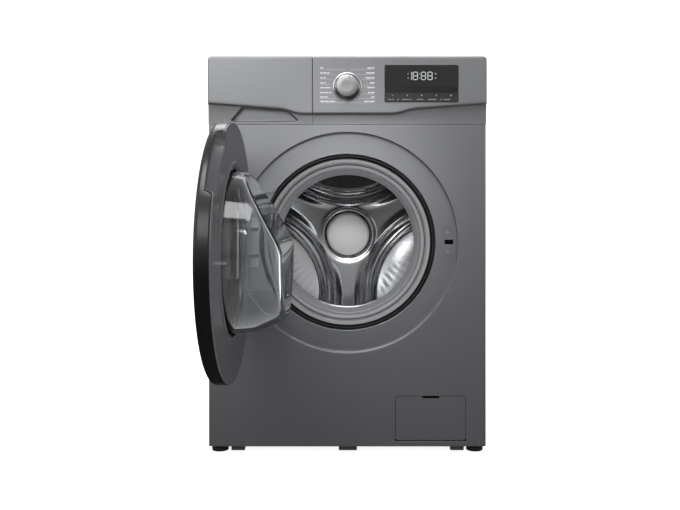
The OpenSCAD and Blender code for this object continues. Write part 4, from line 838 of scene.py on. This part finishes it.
def starDepth(r, a):
    # pressed star: the distance to each of three circles tells arm, sunken band and field apart
    x, z = r * np.cos(a), r * np.sin(a)
    turns = np.radians([90, 210, 330])[:, None, None]
    reach = drum["starReach"]
    d = np.sqrt((x[None] - reach * np.cos(turns)) ** 2 + (z[None] - reach * np.sin(turns)) ** 2).min(0)
    edge, width = drum["starRadius"], drum["bandWidth"]
    t = (edge - d) / width  # 0 on the star's edge, 1 where the field starts
    inBand = np.clip(t, 0, 1)
    field = drum["back"] - 4
    fieldDome = 4 * smoothStep((t - 1) / 1.6) + drum["fieldDish"] * smoothStep((r - 92) / 110)
    ripple = np.cos(a * 3 * drum["ripples"]) * smoothStep((t - 1.1) / 0.6) * smoothStep((r - 128) / 24)
    ripple = ripple * drum["rippleTall"]
    arm = drum["plateau"] - drum["armTilt"] * np.maximum(r - 66, 0) * smoothStep(-t / 0.7)
    fall = (field - 4 - drum["plateau"]) * inBand
    band = drum["plateau"] + fall + drum["bandDeep"] * np.sin(math.pi * inBand)
    depth = np.where(t < 0, arm, np.where(t > 1, field - 4 - fieldDome + ripple, band))
    lip = drum["ridge"] * (np.exp(-((t * width / 2.6) ** 2)) + np.exp(-(((t - 1) * width / 2.6) ** 2)))
    dish = 3.0 * np.exp(-(((r - 61) / 7) ** 2))
    return np.minimum(depth - lip + dish, drum["back"] - 0.6)


r, a = np.meshgrid(np.linspace(40, 234.4, 100), np.linspace(0, 2 * math.pi, 360, endpoint=False),
                   indexing="ij")
back = np.stack([r * np.cos(a), frontY + starDepth(r, a), axisZ + r * np.sin(a)], -1)
makePiece("drumBack", [sheet(back, closeColumns=True)], stainless, "drum", ["drum_rear_wall"],
          sharp=60, wall=0.8)

wallProfile = resampled(softened([(150.6, 95), (150.6, 83.5), (153, 82.6), (226, 82.6), (234.4, 91),
                                  (234.4, 314)], [1, 2, 3, 7, 7, 1], 7), 90)
wallPoints = turned(wallProfile, 240)
columns = np.linspace(0, 1, 240, endpoint=False)
uvs = np.stack(np.broadcast_arrays(columns[None], ((wallProfile[:, 1] - 82) / 233)[:, None]),
               -1).reshape(-1, 2)
makePiece("drumWall", [sheet(wallPoints, closeColumns=True)], drumSheet, "drum", ["drum_wall"],
          uvs=uvs, wall=0.8)

lifter = {"angles": (90, 210, 330), "depths": (110, 293), "half": 32, "tall": 55, "base": 231}
lifterSheets = []
u, v = np.meshgrid(np.linspace(-1, 1, 41), np.linspace(0, 1, 40), indexing="ij")
ends = smoothStep(v / 0.22) * smoothStep((1 - v) / 0.14)
height = lifter["tall"] * ends * np.cos(u * math.pi / 2) ** 0.8 * (1 - 0.12 * np.cos(v * math.pi * 6) * ends)
height = np.minimum(height, lifter["tall"])
aside = lifter["half"] * np.sign(u) * np.abs(u) ** 1.25 * (0.82 + 0.18 * ends)
depth = lifter["depths"][0] + (lifter["depths"][1] - lifter["depths"][0]) * v
for angle in np.radians(lifter["angles"]):
    for h in (height, -0.5 + 0 * height):
        near = np.sqrt(lifter["base"] ** 2 - aside**2) - h
        place = [near * np.cos(angle) - aside * np.sin(angle), frontY + depth,
                 axisZ + near * np.sin(angle) + aside * np.cos(angle)]
        points = np.stack(place, -1)
        border = (np.abs(u) == 1) | (v == 0) | (v == 1)
        inward = np.sqrt(lifter["base"] ** 2 - aside**2)
        points[border, 0] = (inward * np.cos(angle) - aside * np.sin(angle))[border]
        points[border, 2] = (axisZ + inward * np.sin(angle) + aside * np.cos(angle))[border]
        lifterSheets.append(sheet(points))
makePiece("drumLifters", lifterSheets, lifterGrey, "drum", ["drum_lifters"])

capProfile = softened([(0, 296.4), (30, 297), (49, 299.4), (53.4, 303), (53.4, 309), (0, 309)],
                      [1, 9, 5, 2, 1, 1], 6)
makePiece("hubCap", [sheet(turned(capProfile, 128), closeColumns=True)], hubGrey, "drum",
          ["hub_cap"])
print("drum made")

spring = {"x": 262.5, "y": 85, "coil": (607, 770), "ends": (559, 808), "radius": 10.4, "wire": 1.6,
          "turns": 30}
springSheets = []
turn = np.linspace(0, 1, spring["turns"] * 20)
for x in (-spring["x"], spring["x"]):
    around = 2 * math.pi * spring["turns"] * turn
    r = spring["radius"] * smoothStep(turn / 0.02) * smoothStep((1 - turn) / 0.02)
    z = spring["coil"][0] + (spring["coil"][1] - spring["coil"][0]) * turn
    coil = np.stack([x + r * np.cos(around), spring["y"] + r * np.sin(around), z], -1)
    low = np.stack([[x] * 12, [spring["y"]] * 12, np.linspace(spring["ends"][0], 606, 12)], -1)
    high = np.stack([[x] * 12, [spring["y"]] * 12, np.linspace(771, spring["ends"][1], 12)], -1)
    path = np.vstack([low, coil, high])
    around = np.concatenate([np.zeros(12), around, np.full(12, around[-1])])
    side = np.stack([np.cos(around), np.sin(around), 0 * around], -1)
    springSheets += tubeAlong(path, spring["wire"], side, 8)
springs = makePiece("suspensionSprings", springSheets, brightSteel, None,
                    ["suspension_springs"])
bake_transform(springs)


def hosePath(points, bend, step=1.5):
    # straight runs with their corners rounded, at even steps
    soft = softened(points, bend, 14)
    length = np.linalg.norm(np.diff(soft, axis=0), axis=1).sum()
    return resampled(soft, int(length / step))


def ribbed(path, radius, pitch, deep):
    # radius along a corrugated hose: a cosine of the length, with plain cuffs at both ends
    along = np.concatenate([[0], np.cumsum(np.linalg.norm(np.diff(path, axis=0), axis=1))])
    cuff = smoothStep(along / 12 - 0.8) * smoothStep((along[-1] - along) / 12 - 0.8)
    return radius - deep * cuff * (0.5 + 0.5 * np.cos(2 * math.pi * along / pitch))


sumpPath = hosePath([(70, -122, 187), (70, -122, 150), (88, -122, 75), (116.5, -122, 75)], 16, 1.2)
sumpHose = makePiece("sumpHose", tubeAlong(sumpPath, ribbed(sumpPath, 21.8, 8, 3), (0, 1, 0), 40),
                     blackRubber, None, ["flexing_hoses"])
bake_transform(sumpHose)
fillPath = hosePath([(-179.5, -40, 655), (-179.5, -40, 690), (-179.5, -40, 723)], 4, 1.2)
fillHose = makePiece("fillHose", tubeAlong(fillPath, ribbed(fillPath, 19, 7, 2.4), (1, 0, 0), 40),
                     blackRubber, None, ["flexing_hoses"])
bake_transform(fillHose)
print("springs and hoses made")

# finish and edge rounding of each node that keeps its CAD shape
dressed = {
    "front_panel": (graphiteSteel, 1.6), "cabinet_wrap": (graphiteSteel, 0.3),
    "rear_cover": (galvanised, 0.4), "worktop": (laminate, 1.2), "base_tray": (basePlastic, 0.7),
    "control_board": (circuitBoard, 0.2), "dispenser_housing": (whitePlastic, 0.8),
    "inlet_valve": (whitePlastic, 0.5), "fixed_hoses": (greyRubber, 0.4),
    "top_braces": (galvanised, 0.3), "hinge_bracket": (brightSteel, 0.6),
    "hinge_pin": (brightSteel, 0.4), "door_lock": (basePlastic, 0.5),
    "cabinet_fasteners": (brightSteel, 0.2), "gasket_clamp": (clampBlack, 0.0),
    "drain_pump": (whitePlastic, 0.7), "damper_cylinders": (galvanised, 0.5),
    "mains_gland": (blackRubber, 0.5), "door_hinge_arm": (brightSteel, 0.5),
    "door_screws": (brightSteel, 0.15), "door_hook": (chromeSteel, 0.5),
    "drawer_tray": (whitePlastic, 0.6), "service_flap": (graphiteSteel, 0.6),
    "pump_filter": (whitePlastic, 0.5), "pump_impeller": (blackRubber, 0.3),
    "tub_front": (whitePlastic, 0.7), "tub_rear": (whitePlastic, 0.7),
    "counterweights": (ballastIron, 1.5), "heater": (brightSteel, 0.4),
    "damper_rods": (brightSteel, 0.4), "drum_bearings": (brightSteel, 0.3),
    "drive_belt": (beltRubber, 0.3), "motor_stator": (motorSteel, 0.8),
    "drum_spider": (castAluminium, 1.2), "drum_pulley": (castAluminium, 0.7),
    "motor_rotor": (motorSteel, 0.4),
}
feet = [f"foot_{end}_{side}" for end in ("front", "rear") for side in ("left", "right")]
dressed.update({foot: (blackRubber, 0.6) for foot in feet})
dressed.update({f"option_button_{k}": (keyBlack, 0.35) for k in range(1, 6)})
for name, (finish, edge) in dressed.items():
    part = nodes[name]
    weld = part.modifiers.new("weld", "WELD")
    weld.merge_threshold = 0.00001
    if edge:
        bevel = part.modifiers.new("edge", "BEVEL")
        bevel.width, bevel.segments = edge * mm, 3 if edge > 1 else 2
        bevel.limit_method, bevel.angle_limit = "ANGLE", math.radians(38)
        bevel.use_clamp_overlap = True
    part.modifiers.new("shade", "WEIGHTED_NORMAL").keep_sharp = True
    part.data.materials.clear()
    part.data.materials.append(finish.material)
print("nodes dressed")

studio = {
    "floor": tone(236), "glow": 0.9,
    "sky": {"low": -0.30, "high": 0.36, "dark": 0.02, "bright": 0.55},
    "lights": [
        # name, place, aim, size, power, spread in degrees
        ("topSoftbox", (-0.4, -1.5, 2.7), (0, -0.2, 0.62), (2.4, 1.1), 44, 180),
        ("frontKey", (-0.75, -2.3, 1.35), (-0.1, -0.2, 0.55), (1.1, 0.7), 7, 180),
        ("drumLight", (0.05, -1.75, 1.30), (0, 0.03, 0.33), (0.3, 0.3), 0.22, 16),
        ("leftCard", (-2.5, -1.3, 1.4), (-0.1, -0.2, 0.55), (0.7, 1.6), 7, 180),
        ("rightCard", (2.6, -1.0, 1.2), (0.2, -0.1, 0.45), (0.5, 1.6), 5, 180),
        ("backRim", (0.2, 2.2, 2.6), (0, 0.2, 0.6), (2.4, 1.0), 26, 180),
    ],
}
paper = moulded("studioPaper", studio["floor"], 0.9, spread=0.01, grain=60)
paper.surface({"Emission Color": (1, 1, 1, 1), "Emission Strength": studio["glow"]})
sweep = softened([(0, 0), (4.5, 0), (7, 0), (7, 7)], 2.2, 24) / mm
for name, part in (("studioFloor", sweep[sweep[:, 0] < 4600]), ("studioWall", sweep[sweep[:, 0] > 4400])):
    # the floor is flat and its wall curves up all the way round
    points = turned(part * (1, 0), 96, (0, 0), 0)
    points[..., 1], points[..., 2] = points[..., 2], part[:, 1:2]
    vertices, faces = sheet(points, closeColumns=True)
    mesh = bpy.data.meshes.new(name)
    mesh.from_pydata((vertices * mm).tolist(), [], faces.tolist())
    mesh.polygons.foreach_set("use_smooth", np.ones(len(mesh.polygons), bool))
    backdrop = bpy.data.objects.new(name, mesh)
    bpy.context.scene.collection.objects.link(backdrop)
    mesh.materials.append(paper.material)
    backdrop.visible_glossy = False
    backdrop.visible_diffuse = name == "studioFloor"

for name, place, aim, size, power, spread in studio["lights"]:
    lightData = bpy.data.lights.new(name, "AREA")
    lightData.shape, lightData.size, lightData.size_y = "ELLIPSE" if spread < 180 else "RECTANGLE", *size
    lightData.energy, lightData.spread = power, math.radians(spread)
    light = bpy.data.objects.new(name, lightData)
    light.location = place
    direction = np.array(aim) - np.array(place)
    flat = math.hypot(direction[0], direction[1])
    light.rotation_euler = (math.pi / 2 + math.atan2(direction[2], flat), 0,
                            math.atan2(direction[1], direction[0]) - math.pi / 2)
    bpy.context.scene.collection.objects.link(light)

world = bpy.data.worlds.new("studioWorld")
bpy.context.scene.world = world
world.use_nodes = True
tree, sky = world.node_tree, studio["sky"]
split, grade = tree.nodes.new("ShaderNodeSeparateXYZ"), tree.nodes.new("ShaderNodeMapRange")
tree.links.new(tree.nodes.new("ShaderNodeTexCoord").outputs["Generated"], split.inputs[0])
tree.links.new(split.outputs["Z"], grade.inputs["Value"])
tree.links.new(grade.outputs["Result"], tree.nodes["Background"].inputs["Strength"])
grade.interpolation_type = "SMOOTHSTEP"
for socket, name in (("From Min", "low"), ("From Max", "high"), ("To Min", "dark"), ("To Max", "bright")):
    grade.inputs[socket].default_value = sky[name]
tree.nodes["Background"].inputs["Color"].default_value = (1, 1, 1, 1)
bpy.context.scene.view_settings.view_transform = "Standard"
print("studio made")

bpy.context.view_layer.update()
